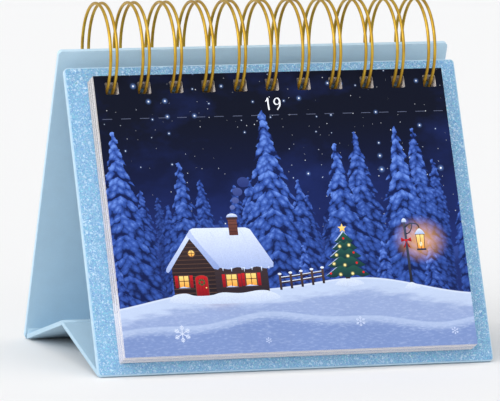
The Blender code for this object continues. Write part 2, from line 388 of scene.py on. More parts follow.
class Formula:
    """A value in a node tree. Each sum, product or function of it becomes a Math node."""

    def __init__(self, tree, socket):
        self.tree = tree
        self.socket = socket

    def math(self, operation, *others):
        """What a Math node makes of this value and others."""
        node = self.tree.nodes.new("ShaderNodeMath")
        node.operation = operation
        for slot, value in zip(node.inputs, (self, *others)):
            connect(self.tree, value, slot)
        return Formula(self.tree, node.outputs[0])

    def __add__(self, other):
        return self.math("ADD", other)

    def __radd__(self, other):
        return self.math("ADD", other)

    def __sub__(self, other):
        return self.math("SUBTRACT", other)

    def __rsub__(self, other):
        return (self * -1.0) + other

    def __mul__(self, other):
        return self.math("MULTIPLY", other)

    def __rmul__(self, other):
        return self.math("MULTIPLY", other)

    def __truediv__(self, other):
        return self.math("DIVIDE", other)

    def __pow__(self, other):
        return self.math("POWER", other)

    def __abs__(self):
        return self.math("ABSOLUTE")

    def floor(self):
        """Largest whole number that isn't above this."""
        return self.math("FLOOR")

    def fraction(self):
        """What this is above its floor."""
        return self.math("FRACT")

    def sine(self):
        """Sine of this, in radians."""
        return self.math("SINE")

    def least(self, other):
        """The smaller of this and another."""
        return self.math("MINIMUM", other)

    def most(self, other):
        """The larger of this and another."""
        return self.math("MAXIMUM", other)

    def below(self, other):
        """1 where this is below another, and 0 elsewhere."""
        return self.math("LESS_THAN", other)

    def above(self, other):
        """1 where this is above another, and 0 elsewhere."""
        return self.math("GREATER_THAN", other)

    def ramp(self, low, high, to_low=0.0, to_high=1.0):
        """Smooth step from to_low at low to to_high at high."""
        node = self.tree.nodes.new("ShaderNodeMapRange")
        node.interpolation_type = "SMOOTHSTEP"
        for slot, value in zip(node.inputs, (self, low, high, to_low, to_high)):
            connect(self.tree, value, slot)
        return Formula(self.tree, node.outputs["Result"])

    def split(self):
        """The three parts of a vector or colour."""
        node = self.tree.nodes.new("ShaderNodeSeparateXYZ")
        connect(self.tree, self, node.inputs[0])
        return [Formula(self.tree, out) for out in node.outputs]

    def mix(self, low, high):
        """Colour between two others, at this value from 0 to 1."""
        node = self.tree.nodes.new("ShaderNodeMix")
        node.data_type = "RGBA"
        connect(self.tree, self, node.inputs["Factor"])
        connect(self.tree, low, node.inputs[6])
        connect(self.tree, high, node.inputs[7])
        return Formula(self.tree, node.outputs[2])

    def tinted(self, color):
        """This colour times another."""
        node = self.tree.nodes.new("ShaderNodeMix")
        node.data_type = "RGBA"
        node.blend_type = "MULTIPLY"
        node.inputs["Factor"].default_value = 1.0
        connect(self.tree, self, node.inputs[6])
        connect(self.tree, color, node.inputs[7])
        return Formula(self.tree, node.outputs[2])


def vector(tree, x, y, z=0.0):
    """Vector formula from three values."""
    node = tree.nodes.new("ShaderNodeCombineXYZ")
    for slot, value in zip(node.inputs, (x, y, z)):
        connect(tree, value, slot)
    return Formula(tree, node.outputs[0])


def noise(tree, place, scale, detail=2.0, rough=0.5):
    """Soft noise from 0 to 1 at a place."""
    node = tree.nodes.new("ShaderNodeTexNoise")
    connect(tree, place, node.inputs["Vector"])
    connect(tree, scale, node.inputs["Scale"])
    node.inputs["Detail"].default_value = detail
    node.inputs["Roughness"].default_value = rough
    return Formula(tree, node.outputs["Fac"])


def cells(tree, place, scale, flat=False, jumble=1.0):
    """Distance to the nearest of scattered points, and a random colour for each."""
    node = tree.nodes.new("ShaderNodeTexVoronoi")
    if flat:
        node.voronoi_dimensions = "2D"
    connect(tree, place, node.inputs["Vector"])
    connect(tree, scale, node.inputs["Scale"])
    node.inputs["Randomness"].default_value = jumble
    return Formula(tree, node.outputs["Distance"]), Formula(tree, node.outputs["Color"])


def vector_math(tree, operation, *vectors):
    """What a Vector Math node makes of these vectors."""
    node = tree.nodes.new("ShaderNodeVectorMath")
    node.operation = operation
    for slot, value in zip(node.inputs, vectors):
        connect(tree, value, slot)
    return Formula(tree, node.outputs[0])


def random_color(tree, value):
    """Random colour that belongs to a whole number."""
    node = tree.nodes.new("ShaderNodeTexWhiteNoise")
    node.noise_dimensions = "1D"
    connect(tree, value, node.inputs["W"])
    return Formula(tree, node.outputs["Color"])


def new_group(name, inputs, outputs):
    """Empty shader node group. Inputs are name, kind and value; outputs are name and kind."""
    group = bpy.data.node_groups.new(name, "ShaderNodeTree")
    kinds = {"value": "NodeSocketFloat", "vector": "NodeSocketVector", "color": "NodeSocketColor"}
    for label, kind, value in inputs:
        socket = group.interface.new_socket(name=label, in_out="INPUT", socket_type=kinds[kind])
        if value is not None:
            socket.default_value = value
    for label, kind in outputs:
        group.interface.new_socket(name=label, in_out="OUTPUT", socket_type=kinds[kind])
    entry = group.nodes.new("NodeGroupInput")
    given = {out.name: Formula(group, out) for out in entry.outputs if out.name}
    exit_node = group.nodes.new("NodeGroupOutput")

    def give(**results):
        """Link these formulas to the group's outputs."""
        for label, value in results.items():
            connect(group, value, exit_node.inputs[label])

    return group, given, give


def use_group(tree, group, **values):
    """Place a group in a tree with these inputs, and return its outputs."""
    node = tree.nodes.new("ShaderNodeGroup")
    node.node_tree = group
    for label, value in values.items():
        connect(tree, value, node.inputs[label])
    return {out.name: Formula(tree, out) for out in node.outputs}


def new_material(name):
    """Material with its tree, shader and the object's own coordinates."""
    material = bpy.data.materials.new(name)
    material.use_nodes = True
    tree = material.node_tree
    coordinates = tree.nodes.new("ShaderNodeTexCoord")
    return material, tree, tree.nodes["Principled BSDF"], Formula(tree, coordinates.outputs["Object"])


def bump(tree, shader, height, strength, distance):
    """Bump the shader's surface with a height."""
    node = tree.nodes.new("ShaderNodeBump")
    node.inputs["Strength"].default_value = strength
    node.inputs["Distance"].default_value = distance
    connect(tree, height, node.inputs["Height"])
    tree.links.new(node.outputs["Normal"], shader.inputs["Normal"])


def ink(red, green, blue):
    """Linear colour of a screen colour given from 0 to 255."""
    share = np.array((red, green, blue)) / 255
    linear = np.where(share <= 0.04045, share / 12.92, ((share + 0.055) / 1.055) ** 2.4)
    return (*linear.tolist(), 1.0)


make_camera()
make_lights()
make_floor()

# Axes of the two boards
front_up = (0.0, math.sin(front_lean), math.cos(front_lean))
front_out = (0.0, -math.cos(front_lean), math.sin(front_lean))
ring_on_board = card_lift + card_height + ring_above_cards
front_foot = (ring_center - ring_on_board * np.array(front_up)
              + ring_behind_front_board * np.array(front_out))
on_front = placed_by(front_foot, front_up, front_out)
back_up = (0.0, -math.sin(back_lean), math.cos(back_lean))
back_out = (0.0, math.cos(back_lean), math.sin(back_lean))
back_foot = np.array((0.0, back_foot_y, back_foot_z))
on_back = placed_by(back_foot, back_up, back_out)

# ---------- finishes ----------

def make_fir_group():
    """Row of snowy firs, one in each cell along x.

    Depth below a fir's top, counted along its drooping boughs, is split into tiers that grow
    downwards. In each tier the half width grows from the inner part of the cone to its full
    slope, and scattered cells along the rim make it lumpy with snow. Light is the snow's
    brightness: high on the lumps and on the upper side of a tier, and low in the gaps.
    """
    tree, given, give = new_group("fir_row", (
        ("Place", "vector", None), ("Ground", "value", 30.0), ("Spacing", "value", 20.0),
        ("Tallest", "value", 50.0), ("Seed", "value", 0.0), ("Clearing", "value", 0.0),
        ("Clearing Width", "value", 0.0), ("Tier", "value", 4.6), ("Lump", "value", 2.6),
    ), (("Mask", "value"), ("Light", "value")))
    x, v, _ = given["Place"].split()
    seed, spacing = given["Seed"], given["Spacing"]
    cell = x / spacing + seed
    number = cell.floor()
    chance = random_color(tree, number + seed * 17.0)
    shift, size, lean = chance.split()
    center = (shift - 0.5) * 0.3
    middle = (number + 0.5 + center - seed) * spacing
    apart = abs(middle - given["Clearing"])
    kept = apart.ramp(given["Clearing Width"] * 0.5, given["Clearing Width"] + 0.01, 0.15, 1.0)
    tall = given["Tallest"] * (size * 0.42 + 0.58) * kept
    height = v - given["Ground"] + 3.0
    sway = noise(tree, vector(tree, x * 0.05, v * 0.09, seed * 9.1), 3.0, 3.0, 0.6) - 0.5
    across = (cell - number - 0.5 - center) * spacing + (lean - 0.5) * height * 0.03 + sway * 1.4
    aside = abs(across)
    along_bough = height + aside * 0.55
    depth = tall - along_bough + sway * 2.0
    tiers = (depth.most(0.0) / given["Tier"]) ** 0.86
    through = tiers.fraction()
    slope = 0.30 + (lean - 0.5) * 0.07
    half = (slope * depth * (through * 0.46 + 0.54) + 0.35).least(spacing * (0.5 - abs(center)) - 1.3)
    lump_x = across / given["Lump"] + number * 3.7
    lump_place = vector(tree, lump_x, along_bough / given["Lump"] * 1.15, seed)
    away, tone = cells(tree, lump_place, 1.0, flat=True)
    tone_r, tone_g, _ = tone.split()
    small_away, _ = cells(tree, vector(tree, x * 1.1, v * 1.3, 0.0), 1.0, flat=True)
    rim = half - aside + (0.55 - away) * 1.7 + (0.45 - small_away) * 0.5
    mask = rim.ramp(0.0, 0.22) * depth.above(0.0)
    puff = (1.0 - away * 1.45).most(0.0)
    upper = 1.0 - through
    from_side = across / (half + 0.5) * -0.07
    shine = puff * 0.55 + upper * 0.28 + tone_g * 0.2 + from_side + (0.5 - small_away) * 0.18
    under_tier = through.ramp(0.62, 0.95) * away.ramp(0.38, 0.62)
    gap = under_tier.most(away.ramp(0.66, 0.82) * tone_r.above(0.45))
    give(Mask=mask, Light=shine * (1.0 - gap * 0.85))
    return tree


def make_star_group():
    """Scattered stars: a bright core and a faint halo at the middle of some cells."""
    tree, given, give = new_group("stars", (
        ("Place", "vector", None), ("Spacing", "value", 6.0),
        ("Size", "value", 0.3), ("Share", "value", 0.5),
    ), (("Core", "value"), ("Halo", "value")))
    x, v, _ = given["Place"].split()
    cell = vector(tree, x / given["Spacing"], v / given["Spacing"])
    away, chance = cells(tree, cell, 1.0, flat=True, jumble=0.65)
    shown, size, _ = chance.split()
    radius = given["Size"] * (size * size * 1.1 + 0.45)
    reach = away * given["Spacing"]
    there = shown.below(given["Share"])
    give(Core=reach.ramp(radius, radius * 0.55) * there,
         Halo=reach.ramp(radius * 3.4, radius * 0.4) * there * size)
    return tree


def make_card_place_group():
    """Millimetres on a card's face: x from its middle, and height from its lower edge."""
    tree, given, give = new_group("card_place", (
        ("Place", "vector", None), ("Slip X", "value", 0.0), ("Slip Up", "value", 0.0),
    ), (("Place", "vector"),))
    x, y, z = given["Place"].split()
    foot_y, foot_z = float(front_foot[1]), float(front_foot[2])
    height = (y - foot_y) * front_up[1] + (z - foot_z) * front_up[2] - card_lift
    give(Place=vector(tree, x * to_mm - given["Slip X"], height * to_mm - given["Slip Up"]))
    return tree


fir_rows = (
    # ground, spacing, tallest, tier, lump, seed step, clearing width, dark, middle and bright ink
    (43.0, 8.5, 27.0, 2.4, 1.4, 0.31, 0.0, ink(19, 32, 82), ink(35, 57, 122), ink(54, 80, 154)),
    (36.0, 14.0, 52.0, 3.4, 1.9, 0.57, 0.0, ink(17, 30, 78), ink(40, 66, 140), ink(70, 102, 184)),
    (31.0, 24.0, 66.0, 4.6, 2.6, 0.83, 3.0, ink(16, 29, 77), ink(46, 75, 153), ink(88, 122, 206)),
    (27.0, 31.0, 80.0, 5.4, 3.0, 1.37, 14.0, ink(15, 28, 76), ink(50, 81, 163), ink(102, 138, 220)),
    (23.0, 19.0, 27.0, 3.6, 2.2, 1.91, 26.0, ink(16, 29, 79), ink(47, 76, 156), ink(92, 126, 210)),
)


def make_winter_group(name, firs, stars, rows):
    """Night picture: sky with stars, rows of firs, and a snow field with soft drifts."""
    tree, given, give = new_group(name, (
        ("Place", "vector", None), ("Seed", "value", 0.0), ("Clearing", "value", 0.0),
        ("Glow X", "value", 0.0), ("Glow Up", "value", 30.0), ("Glow", "value", 0.0),
        ("Lamp X", "value", 60.0), ("Lamp Up", "value", 40.0), ("Lamp", "value", 0.0),
    ), (("Color", "color"),))
    place, seed, clearing = given["Place"], given["Seed"], given["Clearing"]
    x, v, _ = place.split()
    mist = noise(tree, vector(tree, x * 0.02, v * 0.03, seed * 3.3), 1.6, 4.0, 0.6)
    sky = v.ramp(28.0, 104.0).mix(ink(20, 33, 88), ink(11, 16, 34))
    sky = ((mist - 0.5) * 1.2 + v.ramp(90.0, 40.0) * 0.35).most(0.0).mix(sky, ink(34, 52, 122))
    speck_place = vector(tree, x + seed * 31.0, v + seed * 13.0)
    speck = use_group(tree, stars, Place=speck_place, Spacing=6.4, Size=0.34, Share=0.36)
    dust_place = vector(tree, x - seed * 17.0, v + 300.0 + seed * 7.0)
    dust = use_group(tree, stars, Place=dust_place, Spacing=3.9, Size=0.18, Share=0.26)
    high = v.ramp(40.0, 52.0)
    sky = ((speck["Halo"] * 0.4) * high).least(1.0).mix(sky, ink(120, 160, 235))
    sky = ((speck["Core"].most(dust["Core"] * 0.8)) * high).least(1.0).mix(sky, ink(236, 241, 250))

    # A long low ridge, far off, with a fringe of tiny firs
    def wave(size, length, turn):
        """Wave along x: size times the sine of x over length plus turn."""
        return (x / length + turn).sine() * size

    far_ridge = wave(5.0, 26.0, seed * 2.3 + 1.1) + wave(2.2, 9.5, seed * 5.1) + 47.0
    ridge_mask = (far_ridge - v).ramp(-0.3, 0.3)
    ridge_snow = (v - far_ridge + 9.0 + (mist - 0.5) * 14.0).ramp(0.0, 9.0)
    color = ridge_mask.mix(sky, ridge_snow.mix(ink(27, 42, 100), ink(48, 70, 142)))
    for ground, spacing, tallest, tier, lump, step, width, dark, middle, bright in rows:
        fir = use_group(tree, firs, Place=place, Ground=ground, Spacing=spacing, Tallest=tallest,
                        Seed=seed + step, Clearing=clearing, Tier=tier, Lump=lump,
                        **{"Clearing Width": width})
        light = fir["Light"] * v.ramp(ground - 8.0, ground + tallest * 0.75, 0.62, 1.12)
        tone = light.ramp(0.42, 0.98).mix(light.ramp(0.05, 0.5).mix(dark, middle), bright)
        color = fir["Mask"].mix(color, tone)

    crest = sum(wave(size, length, seed * by_seed + turn) for size, length, by_seed, turn in crest_waves)
    crest = crest + crest_level
    brush = noise(tree, vector(tree, x * 0.05, v * 0.22, seed * 4.7), 2.2, 5.0, 0.62)
    fine_brush = noise(tree, vector(tree, x * 0.35, v * 1.1, seed), 1.4, 4.0, 0.6)
    below = crest - v
    drift = wave(2.6, 21.0, seed * 3.7 + 2.0) + wave(1.0, 7.9, seed) + 13.5
    band = (below + (brush - 0.5) * 9.0).ramp(3.5, 8.5)
    snow = band.mix(ink(184, 199, 227), ink(143, 161, 203))
    snow = (v - drift + (brush - 0.5) * 5.0).ramp(1.5, -4.5).mix(snow, ink(118, 140, 190))
    drift_rim = (v - drift + 4.5 + (fine_brush - 0.5) * 3.0).ramp(0.0, 4.0)
    snow = ((drift - v).ramp(-0.4, 0.4) * drift_rim).mix(snow, ink(166, 183, 217))
    snow = ((fine_brush - 0.5) * 1.3).most(0.0).mix(snow, ink(198, 211, 235))
    snow = below.ramp(1.3, 0.0).mix(snow, ink(211, 221, 240))
    color = below.ramp(0.0, 0.35).mix(color, snow)

    # Warm light spilled round a window or lamp
    for glow, reach in (("Glow", 17.0), ("Lamp", 13.0)):
        dx, dv = x - given[glow + " X"], v - given[glow + " Up"]
        far = (dx * dx + dv * dv * 1.4) ** 0.5
        color = (far.ramp(reach, 0.0) * given[glow]).mix(color, ink(255, 186, 104))
    give(Color=color)
    return tree


def make_paper_group():
    """Paper surface: mottled shade near one, and a fine fibre height."""
    tree, given, give = new_group("paper_grain", (
        ("Place", "vector", None), ("Fibre", "value", 2600.0), ("Mottle", "value", 160.0),
    ), (("Shade", "value"), ("Height", "value")))
    fibre = noise(tree, given["Place"], given["Fibre"], 4.0, 0.65)
    mottle = noise(tree, given["Place"], given["Mottle"], 4.0, 0.55)
    x, y, z = given["Place"].split()
    strands = noise(tree, vector(tree, x * 0.35, y, z * 1.3), given["Fibre"] * 0.5, 2.0, 0.5)
    give(Shade=(mottle - 0.5) * 0.12 + (fibre - 0.5) * 0.12 + 1.0, Height=fibre * 0.6 + strands * 0.4)
    return tree


def make_wear_group():
    """Rubbed rim of a board: 1 at its outline, fading over a millimetre or so, uneven along it.

    Height on the board is counted from its foot, along its lean.
    """
    tree, given, give = new_group("rubbed_rim", (
        ("Place", "vector", None), ("Foot Y", "value", 0.0), ("Foot Z", "value", 0.0),
        ("Up Y", "value", 0.0), ("Up Z", "value", 1.0), ("Half Width", "value", 0.08),
        ("Length", "value", 0.13), ("Reach", "value", 0.001),
    ), (("Mask", "value"),))
    x, y, z = given["Place"].split()
    height = (y - given["Foot Y"]) * given["Up Y"] + (z - given["Foot Z"]) * given["Up Z"]
    inside = (given["Half Width"] - abs(x)).least(height.least(given["Length"] - height))
    rub = noise(tree, given["Place"], 420.0, 4.0, 0.6)
    give(Mask=inside.ramp(given["Reach"], 0.0) * rub.ramp(0.35, 0.7))
    return tree


def make_glitter_group():
    """Fine glitter: every small cell has its own tone and tilt, and a few are much brighter."""
    tree, given, give = new_group("glitter", (
        ("Place", "vector", None), ("Grain", "value", 2600.0),
    ), (("Color", "color"), ("Flake", "value"), ("Tilt", "vector")))
    place = given["Place"]
    _, tone = cells(tree, place, given["Grain"])
    tone_r, tone_g, tone_b = tone.split()
    _, coarse = cells(tree, place, given["Grain"] * 0.42)
    coarse_r, coarse_g, _ = coarse.split()
    drift = noise(tree, place, 55.0, 3.0, 0.6)
    base = (tone_r * 0.75 + (drift - 0.5) * 0.5 + 0.1).mix(ink(98, 152, 194), ink(152, 191, 223))
    base = (tone_g.above(0.84) * 0.75).mix(base, ink(122, 196, 216))
    base = (tone_b.above(0.88) * 0.5).mix(base, ink(210, 229, 246))
    base = (tone_b.below(0.10) * 0.6).mix(base, ink(84, 132, 196))
    coarse_tone = coarse_g.above(0.5).mix(ink(214, 236, 250), ink(110, 160, 214))
    color = (coarse_r.above(0.9) * 0.4).mix(base, coarse_tone)
    flake = tone_g.above(0.7) * 0.8
    tilt = vector(tree, tone_r - 0.5, tone_g - 0.5, tone_b - 0.5)
    give(Color=color, Flake=flake, Tilt=tilt)
    return tree


firs = make_fir_group()
stars = make_star_group()
card_place = make_card_place_group()
winter_night = make_winter_group("winter_night", firs, stars, fir_rows)
quiet_night = make_winter_group("quiet_night", firs, stars, fir_rows[2:4])
paper_grain = make_paper_group()
rubbed_rim = make_wear_group()
glitter = make_glitter_group()


def cover_paper_look(name, color, pale, foot=None, up=None, half=0.0, length=0.0):
    """Matt cover paper with fibres. Where a board's foot is given, its rim is rubbed paler."""
    material, tree, shader, place = new_material(name)
    grain = use_group(tree, paper_grain, Place=place)
    tint = grain["Shade"].ramp(0.9, 1.1).mix(tuple(0.88 * c for c in color[:3]) + (1.0,), color)
    if foot is not None:
        rim = use_group(tree, rubbed_rim, Place=place, Length=length, **{
            "Foot Y": float(foot[1]), "Foot Z": float(foot[2]),
            "Up Y": up[1], "Up Z": up[2], "Half Width": half})
        tint = (rim["Mask"] * 0.5).mix(tint, pale)
    connect(tree, tint, shader.inputs["Base Color"])
    connect(tree, grain["Shade"] * 0.74, shader.inputs["Roughness"])
    shader.inputs["Specular IOR Level"].default_value = 0.3
    shader.inputs["Sheen Weight"].default_value = 0.08
    bump(tree, shader, grain["Height"], 0.35, 0.0001)
    return material


def raw_board_look():
    """Grey pulp board where the punch has cut through it, in thin layers."""
    material, tree, shader, place = new_material("grey_board")
    grain = use_group(tree, paper_grain, Place=place, Fibre=1500.0)
    tint = grain["Shade"].ramp(0.86, 1.1).mix(ink(104, 99, 90), ink(158, 152, 140))
    connect(tree, tint, shader.inputs["Base Color"])
    shader.inputs["Roughness"].default_value = 0.95
    bump(tree, shader, grain["Height"], 0.8, 0.0002)
    return material


def glitter_look():
    """Glitter paper under a clear lacquer. Each grain's tilt leans the surface's normal."""
    material, tree, shader, place = new_material("glitter_paper")
    fine = use_group(tree, glitter, Place=place)
    connect(tree, fine["Color"], shader.inputs["Base Color"])
    connect(tree, fine["Flake"] * 0.4, shader.inputs["Metallic"])
    connect(tree, fine["Flake"].ramp(0.0, 1.0, 0.55, 0.26), shader.inputs["Roughness"])
    geometry = tree.nodes.new("ShaderNodeNewGeometry")
    tilt = vector_math(tree, "MULTIPLY", fine["Tilt"], (0.55, 0.55, 0.55))
    leaning = vector_math(tree, "ADD", Formula(tree, geometry.outputs["Normal"]), tilt)
    connect(tree, vector_math(tree, "NORMALIZE", leaning), shader.inputs["Normal"])
    shader.inputs["Coat Weight"].default_value = 0.15
    shader.inputs["Coat Roughness"].default_value = 0.25
    return material


def gold_look():
    """Gold lacquered wire: drawing lines along it, thin places and a few dull specks."""
    material, tree, shader, place = new_material("gold_wire")
    drawn = noise(tree, place, 900.0, 3.0, 0.6)
    patch = noise(tree, place, 140.0, 3.0, 0.5)
    tint = patch.ramp(0.3, 0.7).mix(ink(176, 137, 36), ink(200, 164, 58))
    tint = drawn.ramp(0.72, 0.8).mix(tint, ink(138, 98, 34))
    connect(tree, tint, shader.inputs["Base Color"])
    shader.inputs["Metallic"].default_value = 0.75
    connect(tree, drawn.ramp(0.3, 0.8, 0.3, 0.46), shader.inputs["Roughness"])
    bump(tree, shader, drawn, 0.12, 0.00008)
    return material


def card_face_look(name, picture, seed, slip, clearing, glow, lamp):
    """Printed face of one card, satin, with the faint grain of its stock.

    glow and lamp are the place and strength of the light from a window and from the lantern.
    """
    material, tree, shader, place = new_material(name)
    spot = use_group(tree, card_place, Place=place, **{"Slip X": slip[0], "Slip Up": slip[1]})["Place"]
    night = use_group(tree, picture, Place=spot, Seed=seed, Clearing=clearing, **{
        "Glow X": glow[0], "Glow Up": glow[1], "Glow": glow[2],
        "Lamp X": lamp[0], "Lamp Up": lamp[1], "Lamp": lamp[2]})
    grain = use_group(tree, paper_grain, Place=place, Mottle=60.0)
    tone = night["Color"].tinted(vector(tree, grain["Shade"], grain["Shade"], grain["Shade"]))
    connect(tree, tone, shader.inputs["Base Color"])
    connect(tree, grain["Shade"] * 0.5, shader.inputs["Roughness"])
    shader.inputs["Specular IOR Level"].default_value = 0.08
    bump(tree, shader, grain["Height"], 0.12, 0.00006)
    return material


def printed_ink_look():
    """Ink of the small motifs: each shape's own colours, over the same grain as the card's face."""
    material, tree, shader, place = new_material("printed_motifs")
    attribute = tree.nodes.new("ShaderNodeAttribute")
    attribute.attribute_name = "ink"
    grain = use_group(tree, paper_grain, Place=place, Mottle=60.0)
    brush = noise(tree, place, 1900.0, 3.0, 0.6).ramp(0.2, 0.8, 0.9, 1.08) * grain["Shade"]
    tone = Formula(tree, attribute.outputs["Color"]).tinted(vector(tree, brush, brush, brush))
    connect(tree, tone, shader.inputs["Base Color"])
    connect(tree, grain["Shade"] * 0.5, shader.inputs["Roughness"])
    shader.inputs["Specular IOR Level"].default_value = 0.08
    return material


def flake_look():
    """Foil flakes: silver, with some that are aqua, green or blue."""
    material, tree, shader, place = new_material("flake_foil")
    _, tone = cells(tree, place, 700.0)
    tone_r, tone_g, tone_b = tone.split()
    tint = tone_r.above(0.7).mix(ink(236, 246, 252), ink(150, 226, 222))
    tint = tone_g.above(0.85).mix(tint, ink(150, 232, 170))
    tint = tone_b.above(0.85).mix(tint, ink(120, 170, 240))
    connect(tree, tint, shader.inputs["Base Color"])
    shader.inputs["Metallic"].default_value = 0.85
    connect(tree, tone_g.ramp(0.0, 1.0, 0.16, 0.34), shader.inputs["Roughness"])
    return material


def card_back_look():
    """Back of a postcard: warm white, with a printed divider, address lines and stamp frame.

    In millimetres, the divider is at x = 0, the lines are 10 apart, and the frame is 18 wide.
    """
    material, tree, shader, place = new_material("postcard_back")
    spot = use_group(tree, card_place, Place=place)["Place"]
    x, v, _ = spot.split()
    x = x * -1.0
    divider = abs(x).below(0.12) * v.above(12.0) * v.below(88.0)
    lines = (abs((v - 20.0) / 10.0 - ((v - 20.0) / 10.0 + 0.5).floor()) * 10.0).below(0.1)
    lines = lines * v.above(15.0) * v.below(55.0) * x.above(10.0) * x.below(66.0)
    box = abs(x - 57.0).most(abs(v - 80.0) * 0.82)
    frame_line = box.above(9.0) * box.below(9.22)
    printed = divider.most(lines).most(frame_line)
    grain = use_group(tree, paper_grain, Place=place)
    stock = grain["Shade"].ramp(0.9, 1.1).mix(ink(226, 223, 218), ink(244, 243, 240))
    connect(tree, (printed * 0.8).mix(stock, ink(96, 116, 168)), shader.inputs["Base Color"])
    shader.inputs["Roughness"].default_value = 0.8
    bump(tree, shader, grain["Height"], 0.3, 0.00008)
    return material


def card_edge_look(name, pale):
    """Cut edge of the card stock, with the darker lines that a guillotine leaves."""
    material, tree, shader, place = new_material(name)
    grain = use_group(tree, paper_grain, Place=place, Fibre=3800.0)
    tint = grain["Shade"].ramp(0.88, 1.1).mix(tuple(0.9 * c for c in pale[:3]) + (1.0,), pale)
    connect(tree, tint, shader.inputs["Base Color"])
    shader.inputs["Roughness"].default_value = 0.85
    bump(tree, shader, grain["Height"], 0.2, 0.0001)
    return material


sky_blue = ink(178, 208, 227)
# The back board's cover is the same paper as sky_blue, made paler: painted light for its shaded inner
# face, which also pales the rest of that board.
back_blue_painted_light = ink(189, 219, 238)
pale_blue = ink(200, 222, 238)
front_cover = cover_paper_look("front_cover_paper", sky_blue, pale_blue, front_foot, front_up,
                               board_width / 2, front_board_length)
back_cover = cover_paper_look("back_cover_paper", back_blue_painted_light, pale_blue, back_foot, back_up,
                              board_width / 2, back_board_length)
flap_cover = cover_paper_look("flap_cover_paper", sky_blue, pale_blue)
grey_board = raw_board_look()
glitter_paper = glitter_look()
gold_wire = gold_look()
card_back = card_back_look()
card_edge = card_edge_look("card_edge", ink(250, 243, 240))
glitter_edge = card_edge_look("glitter_edge", ink(170, 204, 230))
printed_ink = printed_ink_look()
flake_foil = flake_look()

# ---------- pieces ----------

def wear_body(piece, body, slot, *nodes):
    """The piece moves with a body and stands for CAD nodes, which it hides. The slot is not used."""
    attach(piece, body)
    if nodes:
        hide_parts(*nodes)
    return piece


def make_boards():
    """The two tall boards and the glitter sheet, each with its row of punched holes."""
    plan = punched_plan(board_width, 0.0, front_board_length, board_hole_height, hole_height,
                        board_corner_radius)
    board = thick_sheet("front_cover_board", plan, on_front, 0.0, board_thickness,
                        [front_cover, front_cover, front_cover, grey_board], soft=board_edge_radius)
    wear_body(board, "front_stand", "cover_paper", "front_board")
    plan = punched_plan(board_width - 2 * facing_margin, facing_margin,
                        front_board_length - facing_margin, board_hole_height, hole_height,
                        board_corner_radius - facing_margin)
    facing = thick_sheet("glitter_sheet", plan, on_front, board_thickness, facing_front,
                         [glitter_paper, glitter_paper, glitter_edge, glitter_edge])
    wear_body(facing, "front_stand", "glitter_paper", "glitter_facing")
    plan = punched_plan(board_width, 0.0, back_board_length, back_board_hole_height, back_hole_height,
                        board_corner_radius)
    board = thick_sheet("back_cover_board", plan, on_back, 0.0, board_thickness,
                        [back_cover, back_cover, back_cover, grey_board], soft=board_edge_radius)
    wear_body(board, "back_stand", "cover_paper", "back_board")


def prism_faces(start, count):
    """Faces of a closed flat prism: a ring of points, anticlockwise, and a second ring under it."""
    top = list(range(start, start + count))
    under = [point + count for point in top]
    walls = [(under[i], under[(i + 1) % count], top[(i + 1) % count], top[i]) for i in range(count)]
    return [top, under[::-1], *walls]


flake_count = 2400
flake_thickness = 0.008 * MM
flake_lift = 0.062 * MM
flake_margin = 1.3 * MM
flake_clearance = 0.5 * MM


def make_flakes():
    """Loose bright flakes in the lacquer: hexagons with a random place, size, turn and tilt.

    A corner lies at its flake's centre plus size times the cosine and sine of its angle, and is
    raised by the tilt's slope across the flake. A second ring of corners lies just below.
    """
    random = np.random.default_rng(41)
    half = board_width / 2 - flake_margin
    x = random.uniform(-half, half, flake_count)
    height = random.uniform(flake_margin, front_board_length - flake_margin, flake_count)
    nearest = np.abs(x[:, None] - loop_places).min(axis=1)
    beside = nearest > hole_width / 2 + flake_clearance
    clear = beside | (np.abs(height - board_hole_height) > hole_height / 2 + flake_clearance)
    x, height = x[clear], height[clear]
    size = random.uniform(0.07, 0.15, len(x)) * MM
    turn = random.uniform(0, math.pi / 3, len(x))[:, None] + np.arange(6) * math.pi / 3
    slope = random.normal(0.0, 0.13, (2, len(x), 1)).clip(-0.22, 0.22)
    along, up = size[:, None] * np.cos(turn), size[:, None] * np.sin(turn)
    raised = facing_front + flake_lift + slope[0] * along + slope[1] * up
    x, height = x[:, None] + along, height[:, None] + up
    upper, under = on_front(x, height, raised), on_front(x, height, raised - flake_thickness)
    places = np.concatenate((upper, under), axis=1)
    faces = [face for start in range(0, 12 * len(x), 12) for face in prism_faces(start, 6)]
    flakes = make_object("glitter_flakes", places, faces, [flake_foil])
    wear_body(flakes, "front_stand", "glitter_paper")


def flap_place(crease, direction, normal, length, under):
    """Places on a base flap. Its ridge end is cut upright, so its lower face is shorter."""
    def place(x, along, away):
        """Places at x, along from the crease and a distance out."""
        x, along, away = np.broadcast_arrays(x, along, away)
        shorter = 1 + (under / length - 1) * (-away / board_thickness)
        return (np.array(crease, float) + x[..., None] * np.array((1.0, 0.0, 0.0))
                + (along * shorter)[..., None] * direction + away[..., None] * normal)

    place.faces_out = np.dot(np.cross((1.0, 0.0, 0.0), direction), normal) > 0
    return place


def plain_plan(width, low, high, rows, columns):
    """Points and quads of a plain rectangle, with more rows and columns near its edges."""
    def spaced(start, end, count):
        """Steps from start to end that follow half a cosine wave."""
        return (start + end) / 2 - (end - start) / 2 * np.cos(np.linspace(0, math.pi, count))

    x, y = np.meshgrid(spaced(-width / 2, width / 2, columns), spaced(low, high, rows))
    return np.c_[x.ravel(), y.ravel()], grid_faces(rows, columns)


